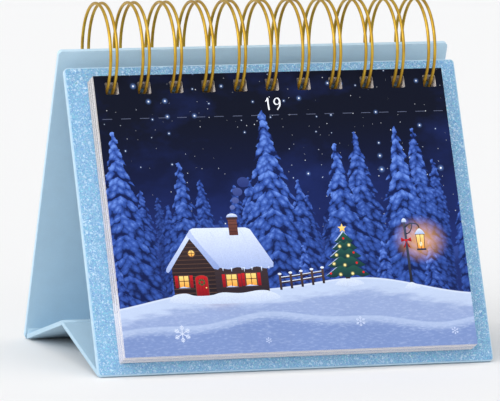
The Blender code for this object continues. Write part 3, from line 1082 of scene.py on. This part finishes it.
def make_flaps():
    """The two base flaps, covered boards that lean together into the ridge."""
    length = (flap_run - ridge_gap / 2) / math.cos(flap_slope)
    under = length - board_thickness * math.tan(flap_slope)
    plan = plain_plan(2 * flap_half_width, 0.0, length, rows=9, columns=13)
    for name, crease, side, body, node in (
        ("front_base_flap", front_crease, 1, "front_flap", "base_front_flap"),
        ("back_base_flap", back_crease, -1, "back_flap", "base_back_flap"),
    ):
        direction = np.array((0.0, side * math.cos(flap_slope), math.sin(flap_slope)))
        normal = np.array((0.0, -side * math.sin(flap_slope), math.cos(flap_slope)))
        place = flap_place(crease, direction, normal, length, under)
        flap = thick_sheet(name, plan, place, -board_thickness, 0.0, [flap_cover] * 4,
                           soft=flap_edge_radius)
        wear_body(flap, body, "cover_paper", node)


def hinge_strip(name, start, corner, end, body_a, body_b, roundness):
    """Cover paper over a fold: a smooth path from start round the corner to end, drawn out along x.

    The path is a quadratic curve between the points that lie a roundness before and after the
    corner, with straight stretches outside. Its thickness is laid on the upper side.
    """
    before = (start - corner) / np.linalg.norm(start - corner)
    after = (end - corner) / np.linalg.norm(end - corner)
    bend_in, bend_out = corner + before * roundness, corner + after * roundness
    bend_steps, width_steps = 9, 25
    t = np.linspace(0, 1, bend_steps)[:, None]
    bend = (1 - t) ** 2 * bend_in + 2 * t * (1 - t) * corner + t**2 * bend_out
    path = np.vstack((start, (start + bend_in) / 2, bend, (bend_out + end) / 2, end))
    ahead = np.gradient(path, axis=0)
    ahead /= np.linalg.norm(ahead, axis=1)[:, None]
    upper = np.c_[np.zeros(len(path)), -ahead[:, 2], ahead[:, 1]]
    # The paper thins out at its two ends
    thickness = np.full(len(path), hinge_paper)
    thickness[[0, -1]] /= 4
    ring = np.vstack((path + upper * thickness[:, None], (path - upper * paper_lift)[::-1]))
    x = np.linspace(-1, 1, width_steps) * (flap_half_width - hinge_margin)
    places = np.broadcast_to(ring, (len(x), *ring.shape)).copy()
    places[..., 0] = x[:, None]
    count = len(ring)
    sides = grid_faces(len(x), count, around_columns=True)[:, ::-1].tolist()
    last = (len(x) - 1) * count
    ends = [list(range(count)), list(range(last, last + count))[::-1]]
    strip = make_object(name, places, sides + ends, [flap_cover])
    strip.data.polygons.foreach_set("use_smooth", [True] * len(sides) + [False] * 2)
    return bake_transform(strip, body_a, body_b, start=tuple(bend_in), end=tuple(bend_out))


def height_on(place, point):
    """Height of a point along a board's own axis."""
    return float(np.dot(point - place.origin, place.up))


def make_hinges():
    """The cover paper's three folds: at each board's foot, and over the ridge."""
    reach = 2.6 * MM
    foot_roundness, ridge_roundness = 0.7 * MM, 1.2 * MM
    slope = math.tan(flap_slope)
    along_front, along_back = np.array((0.0, 1.0, slope)), np.array((0.0, -1.0, slope))
    above = np.array((0.0, 0.0, paper_lift))
    on_board = on_front(0.0, height_on(on_front, front_crease) + reach, -paper_lift)
    corner = front_crease + above
    hinge_strip("front_foot_fold", on_board, corner, corner + reach * along_front,
                "front_stand", "front_flap", foot_roundness)
    on_board = on_back(0.0, height_on(on_back, back_crease) + reach, -paper_lift)
    corner = back_crease + above
    hinge_strip("back_foot_fold", corner + reach * along_back, corner, on_board,
                "back_flap", "back_stand", foot_roundness)
    ridge = np.array((0.0, ridge_hinge[1], ridge_height)) + above
    hinge_strip("ridge_paper_fold", ridge - reach * along_front, ridge, ridge - reach * along_back,
                "front_flap", "back_flap", ridge_roundness)


# ---------- printed motifs, in millimetres on the card ----------

def box_shape(low_x, low_v, high_x, high_v):
    """Rectangle's corners, anticlockwise."""
    return np.array(((low_x, low_v), (high_x, low_v), (high_x, high_v), (low_x, high_v)))


def disc(x, v, radius, flat=1.0, sides=20, start=0.0):
    """Points round an ellipse: x + r cos a, v + flat r sin a."""
    angle = np.linspace(0, 2 * math.pi, sides, endpoint=False) + start
    return np.c_[x + radius * np.cos(angle), v + flat * radius * np.sin(angle)]


def stroke(points, width, thin=1.0):
    """Outline of a brush stroke along points, as wide as width, and thinner towards its end."""
    points = np.array(points, float)
    ahead = np.gradient(points, axis=0)
    ahead /= np.maximum(np.linalg.norm(ahead, axis=1), 1e-9)[:, None]
    side = np.c_[-ahead[:, 1], ahead[:, 0]] * (width / 2 * np.linspace(1, thin, len(points)))[:, None]
    return np.vstack((points - side, (points + side)[::-1]))


def smooth_line(points, steps=6):
    """Points on a curve through the given ones, each stretch a cubic with averaged slopes."""
    p = np.array(points, float)
    slope = np.gradient(p, axis=0)
    t = np.linspace(0, 1, steps, endpoint=False)[:, None]
    a, b, m, n = p[:-1, None], p[1:, None], slope[:-1, None], slope[1:, None]
    curve = ((2 * t**3 - 3 * t**2 + 1) * a + (t**3 - 2 * t**2 + t) * m
             + (3 * t**2 - 2 * t**3) * b + (t**3 - t**2) * n)
    return np.vstack((curve.reshape(-1, 2), p[-1:]))


def moved(shapes, x, v, size=1.0):
    """Shapes made larger or smaller and carried to a place."""
    return [(points * size + (x, v), low, high, layer) for points, low, high, layer in shapes]


field, crest_snow = ink(188, 202, 229), ink(211, 221, 240)


def snowflake_shapes(radius, color):
    """Six arms at sixty degrees, each with two pairs of twigs, and a ring of small diamonds."""
    arm = [stroke(((0, 0), (0, radius)), radius * 0.09)]
    for share, twig in ((0.45, 0.30), (0.70, 0.22)):
        foot = radius * share
        for side in (-1, 1):
            tip = (side * twig * radius * 0.8, foot + twig * radius)
            arm.append(stroke(((0, foot), tip), radius * 0.08))
    arm.append(disc(0, radius * 0.25, radius * 0.07, sides=4))
    shapes = []
    for sixth in range(6):
        c, s = math.cos(sixth * math.pi / 3), math.sin(sixth * math.pi / 3)
        for points in arm:
            shapes.append((points @ np.array(((c, s), (-s, c))), color, color, 0))
    return shapes


def cottage_shapes():
    """Timber cottage under thick snow, with lit windows. It stands on v = 0, 38 mm wide."""
    timber, timber_dark, timber_light = ink(58, 44, 44), ink(34, 27, 36), ink(92, 68, 58)
    side_low, side_high = ink(40, 33, 44), ink(62, 50, 54)
    snow, snow_shade = ink(216, 226, 246), ink(158, 176, 222)
    amber, amber_deep, bar = ink(255, 218, 130), ink(242, 158, 62), ink(70, 42, 30)
    red, red_deep = ink(190, 34, 40), ink(128, 20, 32)
    shapes = [
        (np.array(((-19, 0), (-3, -0.4), (-3, 11.5), (-11, 22), (-19, 11.5))), timber_dark, timber, 1),
        (np.array(((-3, -0.4), (17, 0.4), (17, 11.4), (-3, 11.5))), side_low, side_high, 1),
    ]
    for level in np.arange(1.4, 20.5, 1.55):
        reach = min(8.0, (22 - level) * 8 / 10.5)
        plank = stroke(((-11 - reach, level), (-11 + reach, level - 0.05)), 0.22)
        shapes.append((plank, timber_light, timber_light, 2))
    for level in np.arange(1.4, 11.0, 1.55):
        shapes.append((stroke(((-3, level), (17, level + 0.1)), 0.2), timber, timber, 2))
    # Roof: snow on the side plane, thick along the eave and up the two gable edges
    eave = smooth_line(((19.4, 10.2), (16.5, 9.7), (13, 10.5), (9.5, 9.6), (6, 10.5), (2.5, 9.8),
                        (-1.4, 10.6)))
    roof = np.vstack(((-2.6, 10.8), (-11.2, 23.6), (-9, 25.6), (10.5, 25.3), (12.2, 24.6),
                      (19.6, 11.8), eave))
    shapes.append((roof, snow_shade, snow, 4))
    for top, low_x, low_v in ((8.6, 11.5, 13.0), (3.0, 6.0, 14.5), (-3.0, 1.0, 12.8)):
        furrow = smooth_line(((top, 24.0), ((top + low_x) / 2 + 0.6, 18.5), (low_x, low_v)))
        shapes.append((stroke(furrow, 0.5, 0.3), ink(186, 200, 236), ink(200, 212, 242), 5))
    left_gable = smooth_line(((-21.2, 9.6), (-20.6, 11.4), (-16, 17.6), (-11, 24.4), (-9.2, 25.7)))
    inner = smooth_line(((-9.6, 23.6), (-11, 21.8), (-15.6, 15.6), (-19.2, 10.6), (-20.4, 9.2)))
    shapes.append((np.vstack((left_gable, inner)), snow_shade, snow, 5))
    right_gable = smooth_line(((-10.6, 25.2), (-9.4, 22.6), (-5.4, 16.8), (-1.2, 11.2), (-1.6, 9.8)))
    inner = smooth_line(((-3.2, 10.2), (-7.2, 16.2), (-10.8, 21.2), (-12.0, 22.8)))
    shapes.append((np.vstack((right_gable, inner)), ink(136, 156, 210), ink(184, 198, 234), 6))
    # Chimney with a snow cap and smoke
    shapes.append((box_shape(4.2, 22.5, 7.6, 28.6), ink(88, 50, 46), ink(112, 68, 60), 6))
    shapes.append((box_shape(3.8, 28.4, 8.0, 29.4), ink(60, 40, 42), ink(70, 48, 48), 7))
    cap = smooth_line(((3.7, 29.3), (4.4, 30.3), (6.0, 30.7), (7.6, 30.2), (8.1, 29.3)))
    shapes.append((cap, snow_shade, snow, 7))
    for level in (23.9, 25.2, 26.5, 27.8):
        shapes.append((stroke(((4.2, level), (7.6, level)), 0.16), ink(52, 32, 34), ink(52, 32, 34), 7))
    puffs = ((6.6, 33.0, 1.0, 92), (8.0, 35.6, 1.4, 80), (9.2, 38.8, 1.9, 66), (11.8, 42.4, 2.3, 52))
    for layer, (x, v, radius, tone) in enumerate(puffs):
        puff = disc(x, v, radius, 0.85)
        shapes.append((puff, ink(tone - 14, tone, tone + 62), ink(tone, tone + 16, tone + 78), layer))
    # Windows, shutters and door
    for x, v, w, h in ((-16.6, 3.6, 3.4, 4.2), (1.2, 3.4, 3.8, 4.4), (8.6, 3.6, 3.8, 4.4)):
        casing = box_shape(x - 0.4, v - 0.4, x + w + 0.4, v + h + 0.4)
        shapes.append((casing, timber_light, timber_light, 3))
        shapes.append((box_shape(x, v, x + w, v + h), amber_deep, amber, 4))
        shapes.append((stroke(((x + w / 2, v), (x + w / 2, v + h)), 0.28), bar, bar, 5))
        shapes.append((stroke(((x, v + h * 0.55), (x + w, v + h * 0.55)), 0.28), bar, bar, 5))
        sill = smooth_line(((x - 0.6, v - 0.3), (x + w * 0.3, v + 0.25), (x + w * 0.75, v - 0.05),
                            (x + w + 0.6, v - 0.3)))
        shapes.append((sill, snow_shade, snow, 5))
        for edge in (x - 1.7, x + w + 0.5):
            shapes.append((box_shape(edge, v - 0.2, edge + 1.2, v + h + 0.2), red_deep, red, 3))
            rail = stroke(((edge + 0.2, v + h * 0.5), (edge + 1.0, v + h * 0.5)), 0.2)
            shapes.append((rail, red_deep, red_deep, 4))
    shapes.append((disc(-11, 16.2, 1.5), timber_light, timber_light, 3))
    shapes.append((disc(-11, 16.2, 1.15), amber_deep, amber, 4))
    shapes.append((stroke(((-12.1, 16.2), (-9.9, 16.2)), 0.22), bar, bar, 5))
    shapes.append((stroke(((-11, 15.1), (-11, 17.3)), 0.22), bar, bar, 5))
    door = np.vstack((box_shape(-10.6, -0.2, -6.0, 6.6)[:2], disc(-8.3, 6.6, 2.3, 0.55, 20)[:11]))
    shapes.append((door * (1.1, 1.04) + (0.83, -0.1), timber_light, timber_light, 3))
    shapes.append((door, red_deep, red, 4))
    for x in (-9.5, -8.3, -7.1):
        shapes.append((stroke(((x, 0.2), (x, 6.8)), 0.14), red_deep, red_deep, 5))
    shapes.append((disc(-6.8, 3.2, 0.26), amber, amber, 6))
    # Wreath on the door: a ring of green tufts, and red berries on it
    for count, start, radius, color, layer in (
        (12, 0.0, 0.36, ink(38, 92, 58), 6), (5, 0.3, 0.17, red, 7),
    ):
        for turn in np.linspace(start, 2 * math.pi + start, count, endpoint=False):
            x, v = -8.3 + 0.95 * math.cos(turn), 5.3 + 0.95 * math.sin(turn)
            shapes.append((disc(x, v, radius, sides=7), color, color, layer))
    # Icicles along the eave
    drops = ((0.2, 1.1), (3.4, 1.5), (7.4, 1.0), (8.2, 1.7), (11.2, 1.1), (14.8, 1.6), (17.6, 1.0))
    for x, drop in drops:
        icicle = np.array(((x - 0.22, 10.4), (x + 0.05, 10.2 - drop), (x + 0.3, 10.4)))
        shapes.append((icicle, ink(196, 214, 246), snow, 5))
    # Snow banked against the walls
    bank = smooth_line(((-21.5, -1.8), (-19.6, 0.6), (-15, 1.3), (-11.2, 0.3), (-5.4, 0.3),
                        (-1, 1.2), (6, 0.8), (13, 1.6), (17.4, 1.0), (20.5, -1.6), (10, -2.7),
                        (0, -3.0), (-12, -2.8)))
    shapes.append((bank, field, crest_snow, 8))
    return shapes


def lamp_shapes():
    """Lantern on a bracket post, with a bow and a snow cap. It stands on v = 0, 25 mm tall."""
    iron, iron_light = ink(24, 26, 38), ink(70, 76, 98)
    amber, amber_deep = ink(255, 222, 140), ink(240, 150, 58)
    snow, snow_shade = ink(220, 229, 247), ink(164, 182, 224)
    red, red_deep = ink(198, 32, 40), ink(130, 18, 30)
    bracket = smooth_line(((0, 22.2), (2.2, 23.6), (4.6, 23.4), (5.6, 22.4)))
    brace = smooth_line(((0, 19.6), (1.6, 20.2), (2.6, 21.8), (3.0, 23.4)))
    lantern_cap = smooth_line(((3.5, 19.4), (4.4, 20.7), (5.6, 21.6), (6.8, 20.8), (7.7, 19.4)))
    post_cap = smooth_line(((-1.0, 24.2), (-0.7, 25.3), (0.1, 25.7), (0.8, 25.2), (1.0, 24.2)))
    bank = smooth_line(((-3.0, -1.2), (-1.6, 0.3), (0, 1.0), (1.8, 0.2), (3.2, -1.2), (0, -2.0)))
    shapes = [
        (stroke(((0, -0.5), (0, 24.6)), 1.1, 0.8), iron, iron_light, 1),
        (stroke(bracket, 0.55, 0.8), iron, iron_light, 1),
        (stroke(brace, 0.4), iron, iron_light, 1),
        (stroke(((5.6, 22.6), (5.6, 20.9)), 0.3), iron, iron, 1),
        (np.array(((3.7, 19.2), (7.5, 19.2), (6.4, 21.1), (4.8, 21.1))), iron, iron_light, 3),
        (np.array(((3.9, 19.3), (4.3, 13.8), (6.9, 13.8), (7.3, 19.3))), amber_deep, amber, 2),
        (box_shape(3.8, 13.2, 7.4, 13.9), iron, iron_light, 3),
        (lantern_cap, snow_shade, snow, 4),
        (post_cap, snow_shade, snow, 4),
        (bank, field, crest_snow, 5),
    ]
    for x_top, x_low in ((4.0, 4.3), (5.6, 5.6), (7.2, 6.9)):
        shapes.append((stroke(((x_top, 19.3), (x_low, 13.8)), 0.22), iron, iron, 4))
    shapes.append((disc(5.6, 15.6, 0.5, 1.9, 12), ink(255, 244, 200), ink(255, 250, 225), 3))
    for side in (-1, 1):
        loop = np.array(((0, 17.2), (side * 1.9, 18.3), (side * 2.1, 16.6)))
        tail = np.array(((0, 17.2), (side * 1.5, 14.2), (side * 0.6, 14.6)))
        shapes += [(loop, red_deep, red, 3), (tail, red_deep, red, 2)]
    shapes.append((disc(0, 17.2, 0.5, sides=10), red, red, 4))
    return shapes


def candle_fir_shapes():
    """Small decorated fir: tiers with snowy rims, warm lights, red baubles and a star. 21 mm tall."""
    green, green_dark = ink(44, 98, 82), ink(20, 50, 58)
    snow, snow_shade = ink(216, 226, 246), ink(150, 170, 218)
    shapes = [(box_shape(-0.8, -0.6, 0.8, 3.0), ink(50, 34, 34), ink(66, 46, 42), 0)]
    tiers = ((2.0, 8.4, 6.8), (5.6, 7.2, 6.0), (8.9, 6.0, 5.4), (11.9, 4.8, 4.8), (14.6, 3.5, 4.2))
    for layer, (foot, half, tall) in zip(range(1, 11, 2), tiers):
        rim = smooth_line(((-half, foot), (-half * 0.62, foot - 0.7), (-half * 0.3, foot + 0.1),
                           (0, foot - 0.8), (half * 0.34, foot + 0.05), (half * 0.66, foot - 0.7),
                           (half, foot)), 4)
        left = smooth_line(((0, foot + tall), (-half * 0.30, foot + tall * 0.62), (-half, foot)), 4)
        right = smooth_line(((half, foot), (half * 0.30, foot + tall * 0.62), (0, foot + tall)), 4)
        shapes.append((np.vstack((rim[:-1], right[:-1], left[:-1])), green_dark, green, layer))
        cap = np.vstack((left + (0.05, 0.0), left[::-1] + (0.9, 0.35)))
        shapes.append((cap, snow_shade, snow, layer + 1))
        shapes.append((stroke(right[::-1][:6], 0.5, 0.2), snow_shade, snow_shade, layer + 1))
    lights = ((-6.2, 2.9), (-2.6, 2.4), (1.9, 2.6), (6.0, 3.0), (-4.6, 6.4), (-0.6, 5.8), (3.9, 6.5),
              (-3.3, 9.6), (0.9, 9.1), (3.2, 10.3), (-1.7, 12.7), (1.8, 13.1), (0.0, 15.6))
    for index, (x, v) in enumerate(lights):
        tone = ink(255, 232, 160) if index % 3 else ink(214, 36, 42)
        if index % 3:
            shapes.append((disc(x, v, 0.75, sides=12), ink(120, 124, 84), ink(140, 136, 88), 11))
        shapes.append((disc(x, v, 0.42, sides=10), tone, tone, 12))
    star_turn = np.arange(10) * math.pi / 5 + math.pi / 2
    star_reach = np.where(np.arange(10) % 2 == 0, 1.7, 0.7)
    star = np.c_[star_reach * np.cos(star_turn), 19.4 + star_reach * np.sin(star_turn)]
    shapes.append((star, ink(246, 188, 84), ink(255, 226, 140), 11))
    bank = smooth_line(((-5.4, -1.4), (-3.6, 0.2), (0, 0.8), (3.8, 0.2), (5.6, -1.4), (0, -2.3)))
    shapes.append((bank, field, crest_snow, 8))
    return shapes


def fence_shapes(crest, first, last):
    """Low fence along the crest: posts with snow caps, and two rails."""
    wood, wood_dark, snow = ink(86, 66, 60), ink(46, 36, 42), ink(218, 227, 246)
    x = np.arange(first, last, 4.6)
    v = crest(x)
    shapes = []
    for rail in (1.7, 3.7):
        line = np.c_[x, v + rail]
        shapes.append((stroke(line, 0.62), wood_dark, wood, 1))
        shapes.append((stroke(line + (0.0, 0.42), 0.3), snow, snow, 2))
    for post_x, post_v in zip(x, v):
        post = box_shape(post_x - 0.5, post_v - 1.2, post_x + 0.5, post_v + 5.4)
        shapes.append((post, wood_dark, wood, 3))
        shapes.append((disc(post_x, post_v + 5.5, 0.8, 0.6, 12), snow, snow, 4))
    return shapes


# Pen strokes of the numerals, in a box one unit tall
numeral_strokes = {
    "0": [[(0.32, 1.0), (0.1, 0.82), (0.04, 0.5), (0.1, 0.16), (0.32, 0.0), (0.54, 0.16), (0.6, 0.5),
           (0.54, 0.82), (0.32, 1.0)]],
    "1": [[(0.1, 0.74), (0.22, 0.84), (0.32, 1.02), (0.31, 0.5), (0.34, 0.0)]],
    "2": [[(0.06, 0.76), (0.16, 0.94), (0.36, 1.0), (0.54, 0.82), (0.46, 0.54), (0.22, 0.24),
           (0.02, 0.02)],
          [(0.02, 0.03), (0.3, 0.05), (0.62, 0.0)]],
    "3": [[(0.08, 0.9), (0.3, 1.0), (0.5, 0.84), (0.44, 0.62), (0.22, 0.54)],
          [(0.22, 0.54), (0.48, 0.5), (0.58, 0.26), (0.42, 0.02), (0.2, 0.0), (0.04, 0.1)]],
    "4": [[(0.46, 1.0), (0.28, 0.66), (0.02, 0.32), (0.34, 0.31), (0.66, 0.32)],
          [(0.47, 0.98), (0.45, 0.5), (0.47, 0.0)]],
    "5": [[(0.14, 0.98), (0.12, 0.76), (0.1, 0.56), (0.34, 0.62), (0.56, 0.44), (0.54, 0.14),
           (0.3, 0.0), (0.05, 0.07)],
          [(0.14, 0.98), (0.34, 0.96), (0.56, 1.0)]],
    "6": [[(0.5, 1.0), (0.26, 0.82), (0.1, 0.5), (0.1, 0.18), (0.3, 0.0), (0.52, 0.12), (0.54, 0.38),
           (0.34, 0.54), (0.12, 0.38)]],
    "7": [[(0.04, 0.96), (0.3, 0.95), (0.6, 1.0), (0.4, 0.52), (0.24, 0.0)]],
    "8": [[(0.46, 0.86), (0.3, 1.0), (0.12, 0.84), (0.26, 0.6), (0.5, 0.36), (0.5, 0.1), (0.3, 0.0),
           (0.1, 0.12), (0.14, 0.38), (0.36, 0.6), (0.46, 0.86)]],
    "9": [[(0.54, 0.7), (0.42, 0.5), (0.18, 0.48), (0.06, 0.7), (0.2, 0.96), (0.42, 0.98), (0.54, 0.74),
           (0.5, 0.34), (0.26, 0.0)]],
}


def numeral_shapes(number, tall, color):
    """A number in pen strokes, centred on x = 0, thick where a stroke goes down.

    Each stroke is a row of small quads that climb by a part of a layer each, so that no two lie
    in one plane.
    """
    digits = str(number)
    advance, quad_climb = 0.78, 0.15
    shapes = []
    for place, digit in enumerate(digits):
        left = (place - len(digits) / 2) * advance + 0.08
        for points in numeral_strokes[digit]:
            line = smooth_line(points, 7)
            ahead = np.gradient(line, axis=0)
            ahead /= np.linalg.norm(ahead, axis=1)[:, None]
            pen = 0.026 + 0.040 * np.abs(ahead[:, 1] * 0.94 - ahead[:, 0] * 0.34)
            side = np.c_[-ahead[:, 1], ahead[:, 0]] * pen[:, None]
            low, high = line - side + (left, 0.0), line + side + (left, 0.0)
            quads = np.stack((low[:-1], low[1:], high[1:], high[:-1]), axis=1) * tall
            shapes += [(quad, color, color, quad_climb * step) for step, quad in enumerate(quads)]
    return shapes


def print_on_card(name, card, shapes, slip):
    """Flat shapes printed on a card's face, each a closed film of ink on its own layer.

    A corner's colour lies between the shape's lower and upper ink, by its height in the shape.
    """
    face = block_back + (card_count - card) * card_pitch + card_thickness
    places, faces, colors, start = [], [], [], 0
    for points, low, high, layer in shapes:
        x, v = points.T
        turn = np.sum(x * np.roll(v, -1) - v * np.roll(x, -1))
        x, v = (points if turn > 0 else points[::-1]).T
        across, height = x * MM + slip[0], v * MM + card_lift + slip[1]
        film = face + ink_lift + layer * ink_layer
        places += [on_front(across, height, film), on_front(across, height, film - ink_thickness)]
        share = (v - v.min()) / max(np.ptp(v), 1e-9)
        tone = np.array(low) + share[:, None] * (np.array(high) - np.array(low))
        colors += [tone, tone]
        faces += prism_faces(start, len(points))
        start += 2 * len(points)
    piece = make_object(name, np.vstack(places), faces, [printed_ink])
    layer = piece.data.color_attributes.new("ink", "FLOAT_COLOR", "POINT")
    layer.data.foreach_set("color", np.vstack(colors).ravel())
    return wear_body(piece, f"card_{card:02d}", "printed_card")


def perforation_shapes():
    """Tear line between stub and picture: short slits with a pale torn rim."""
    pale, dark = ink(104, 112, 138), ink(30, 34, 52)
    slits_from, slits_to, slit_length, slit_pitch = -73.0, 74.8, 4.0, 7.9
    shapes = []
    for x in np.arange(slits_from, slits_to, slit_pitch):
        end = min(x + slit_length, slits_to)
        rim = box_shape(x, picture_top - 0.12, end, picture_top + 0.12)
        slit = box_shape(x + 0.1, picture_top - 0.04, end - 0.1, picture_top + 0.02)
        shapes += [(rim, pale, pale, 0), (slit, dark, dark, 1)]
    return shapes


def crest_height(seed):
    """The snow field's upper edge on a card, the same sum of waves as in its material."""
    def crest(x):
        """Height at x, in millimetres."""
        return sum(size * np.sin(x / length + seed * by_seed + turn)
                   for size, length, by_seed, turn in crest_waves) + crest_level
    return crest


def front_picture_shapes():
    """Motifs of the front card: cottage, lantern, small fir and fence on the crest, and snowflakes."""
    crest = crest_height(front_seed)
    shapes = []
    for motif, x, sunk, size in (
        (cottage_shapes(), cottage_x, 2.2, 1.12), (lamp_shapes(), lamp_x, 1.0, 1.1),
        (candle_fir_shapes(), fir_x, 1.4, 1.15),
    ):
        shapes += moved(motif, x, float(crest(x)) - sunk, size)
    shapes += fence_shapes(crest, cottage_x + 24.0, fir_x - 10.0)
    for radius, color, x, v in (
        (3.6, ink(214, 224, 246), -50.0, 9.0), (2.1, ink(206, 217, 243), 26.0, 11.5),
        (1.6, ink(206, 217, 243), 66.0, 6.0), (1.3, ink(200, 212, 240), -14.0, 5.0),
    ):
        shapes += moved(snowflake_shapes(radius, color), x, v)
    return shapes


# Off the card, so that no firs make way, and x, height and strength of the lights in a print
no_clearing = 200.0
no_glow = (0.0, 0.0, 0.0)
window_glow = (cottage_x - 2.0, 31.0, 0.4)
lantern_glow = (lamp_x + 6.2, 45.0, 0.65)


def make_cards():
    """The block: each card a punched sheet with its print, slipped a little in its own plane.

    The days count on from the front card, and after the last they start again at 1.
    """
    random = np.random.default_rng(7)
    slips = random.uniform(-1, 1, (card_count, 2)) * (slip_across, slip_up)
    slips[0] = 0.0
    plan = punched_plan(card_width, card_lift, card_lift + card_height,
                        ring_on_board - card_hole_drop, hole_height)
    for card in range(1, card_count + 1):
        slip = slips[card - 1]
        number = (card + front_day - 2) % card_count + 1
        back = block_back + (card_count - card) * card_pitch
        if card == 1:
            look = card_face_look("night_print_front", winter_night, front_seed,
                                  slip / MM, cottage_x, window_glow, lantern_glow)
        else:
            look = card_face_look(f"night_print_{card:02d}", quiet_night, 1.0 + 2.37 * card,
                                  slip / MM, no_clearing, no_glow, no_glow)
        sheet = thick_sheet(f"card_{card:02d}_sheet", (plan[0] + slip, plan[1]), on_front,
                            back, back + card_thickness, [look, card_back, card_edge, card_edge])
        wear_body(sheet, f"card_{card:02d}", "printed_card", f"card_{card:02d}")
        numeral = numeral_shapes(number, number_height, ink(240, 243, 250))
        shapes = moved(numeral, 0.0, number_foot) + perforation_shapes()
        if card == 1:
            shapes += front_picture_shapes()
        else:
            # One snowflake, at a place of its own on every card
            shapes += moved(snowflake_shapes(2.6, ink(214, 224, 246)), -60.0 + (card * 37) % 120, 8.0)
        print_on_card(f"card_{card:02d}_print", card, shapes, slip)


def wire_route():
    """Centre line of the twin wire, unrolled: x along the seam, and the angle round the ring.

    Each loop leaves the seam in a quarter bend, runs round at x minus half the spacing, turns
    back at its tip in a half circle, and returns at x plus half the spacing.
    """
    half, bend = twin_spacing / 2, wire_bend_radius
    bend_steps, round_steps, tip_steps = 7, 90, 13
    tip = seam_angle + 2 * math.pi - (tip_to_seam + half) / ring_radius
    low = seam_angle + bend / ring_radius
    quarter = np.linspace(0, math.pi / 2, bend_steps)[:-1]
    bend_x = -half - bend * (1 - np.sin(quarter))
    bend_angle = seam_angle + bend * (1 - np.cos(quarter)) / ring_radius
    run = np.linspace(low, tip, round_steps, endpoint=False)
    turn = np.linspace(0, math.pi, tip_steps)
    side = np.full(round_steps, half)
    loop_x = np.concatenate((bend_x, -side, -half * np.cos(turn), side, -bend_x[::-1]))
    tip_angle = tip + half * np.sin(turn) / ring_radius
    loop_angle = np.concatenate((bend_angle, run, tip_angle, run[::-1], bend_angle[::-1]))
    reach = half + bend + wire_end_length
    x = (loop_places[:, None] + loop_x).ravel()
    angle = np.tile(loop_angle, loop_count)
    x = np.r_[loop_places[0] - reach, x, loop_places[-1] + reach]
    return x, np.r_[seam_angle, angle, seam_angle]


def make_wire():
    """Round wire along the route: radial and cross directions at each point carry its section."""
    x, angle = wire_route()
    radial = np.c_[np.zeros_like(angle), -np.sin(angle), -np.cos(angle)]
    path = ring_center + np.c_[x, ring_radius * radial[:, 1:]]
    ahead = np.gradient(path, axis=0)
    ahead /= np.linalg.norm(ahead, axis=1)[:, None]
    across = np.cross(ahead, radial)
    across /= np.linalg.norm(across, axis=1)[:, None]
    radial = np.cross(across, ahead)
    section_sides = 12
    turn = np.linspace(0, 2 * math.pi, section_sides, endpoint=False)
    # Rounded ends: three smaller sections beyond each end, and a small flat face
    cap = np.radians([72, 50, 26])
    lead = (-wire_radius * np.sin(cap))[:, None]
    sizes = np.concatenate((np.cos(cap), np.ones(len(path)), np.cos(cap)[::-1])) * wire_radius
    centers = np.vstack((path[:1] + lead * ahead[:1], path, path[-1:] - lead[::-1] * ahead[-1:]))
    spread = [0, 0, 0, *range(len(path)), -1, -1, -1]
    section = (np.cos(turn)[:, None] * radial[spread][:, None]
               + np.sin(turn)[:, None] * across[spread][:, None])
    places = centers[:, None] + sizes[:, None, None] * section
    sides = grid_faces(len(centers), section_sides, around_columns=True).tolist()
    last = (len(centers) - 1) * section_sides
    ends = [list(range(section_sides))[::-1], list(range(last, last + section_sides))]
    wire = make_object("gold_twin_wire", places, sides + ends, [gold_wire], smooth=True)
    wear_body(wire, "front_stand", "gold_wire", "twin_wire")


make_boards()
make_flakes()
make_flaps()
make_hinges()
make_cards()
make_wire()
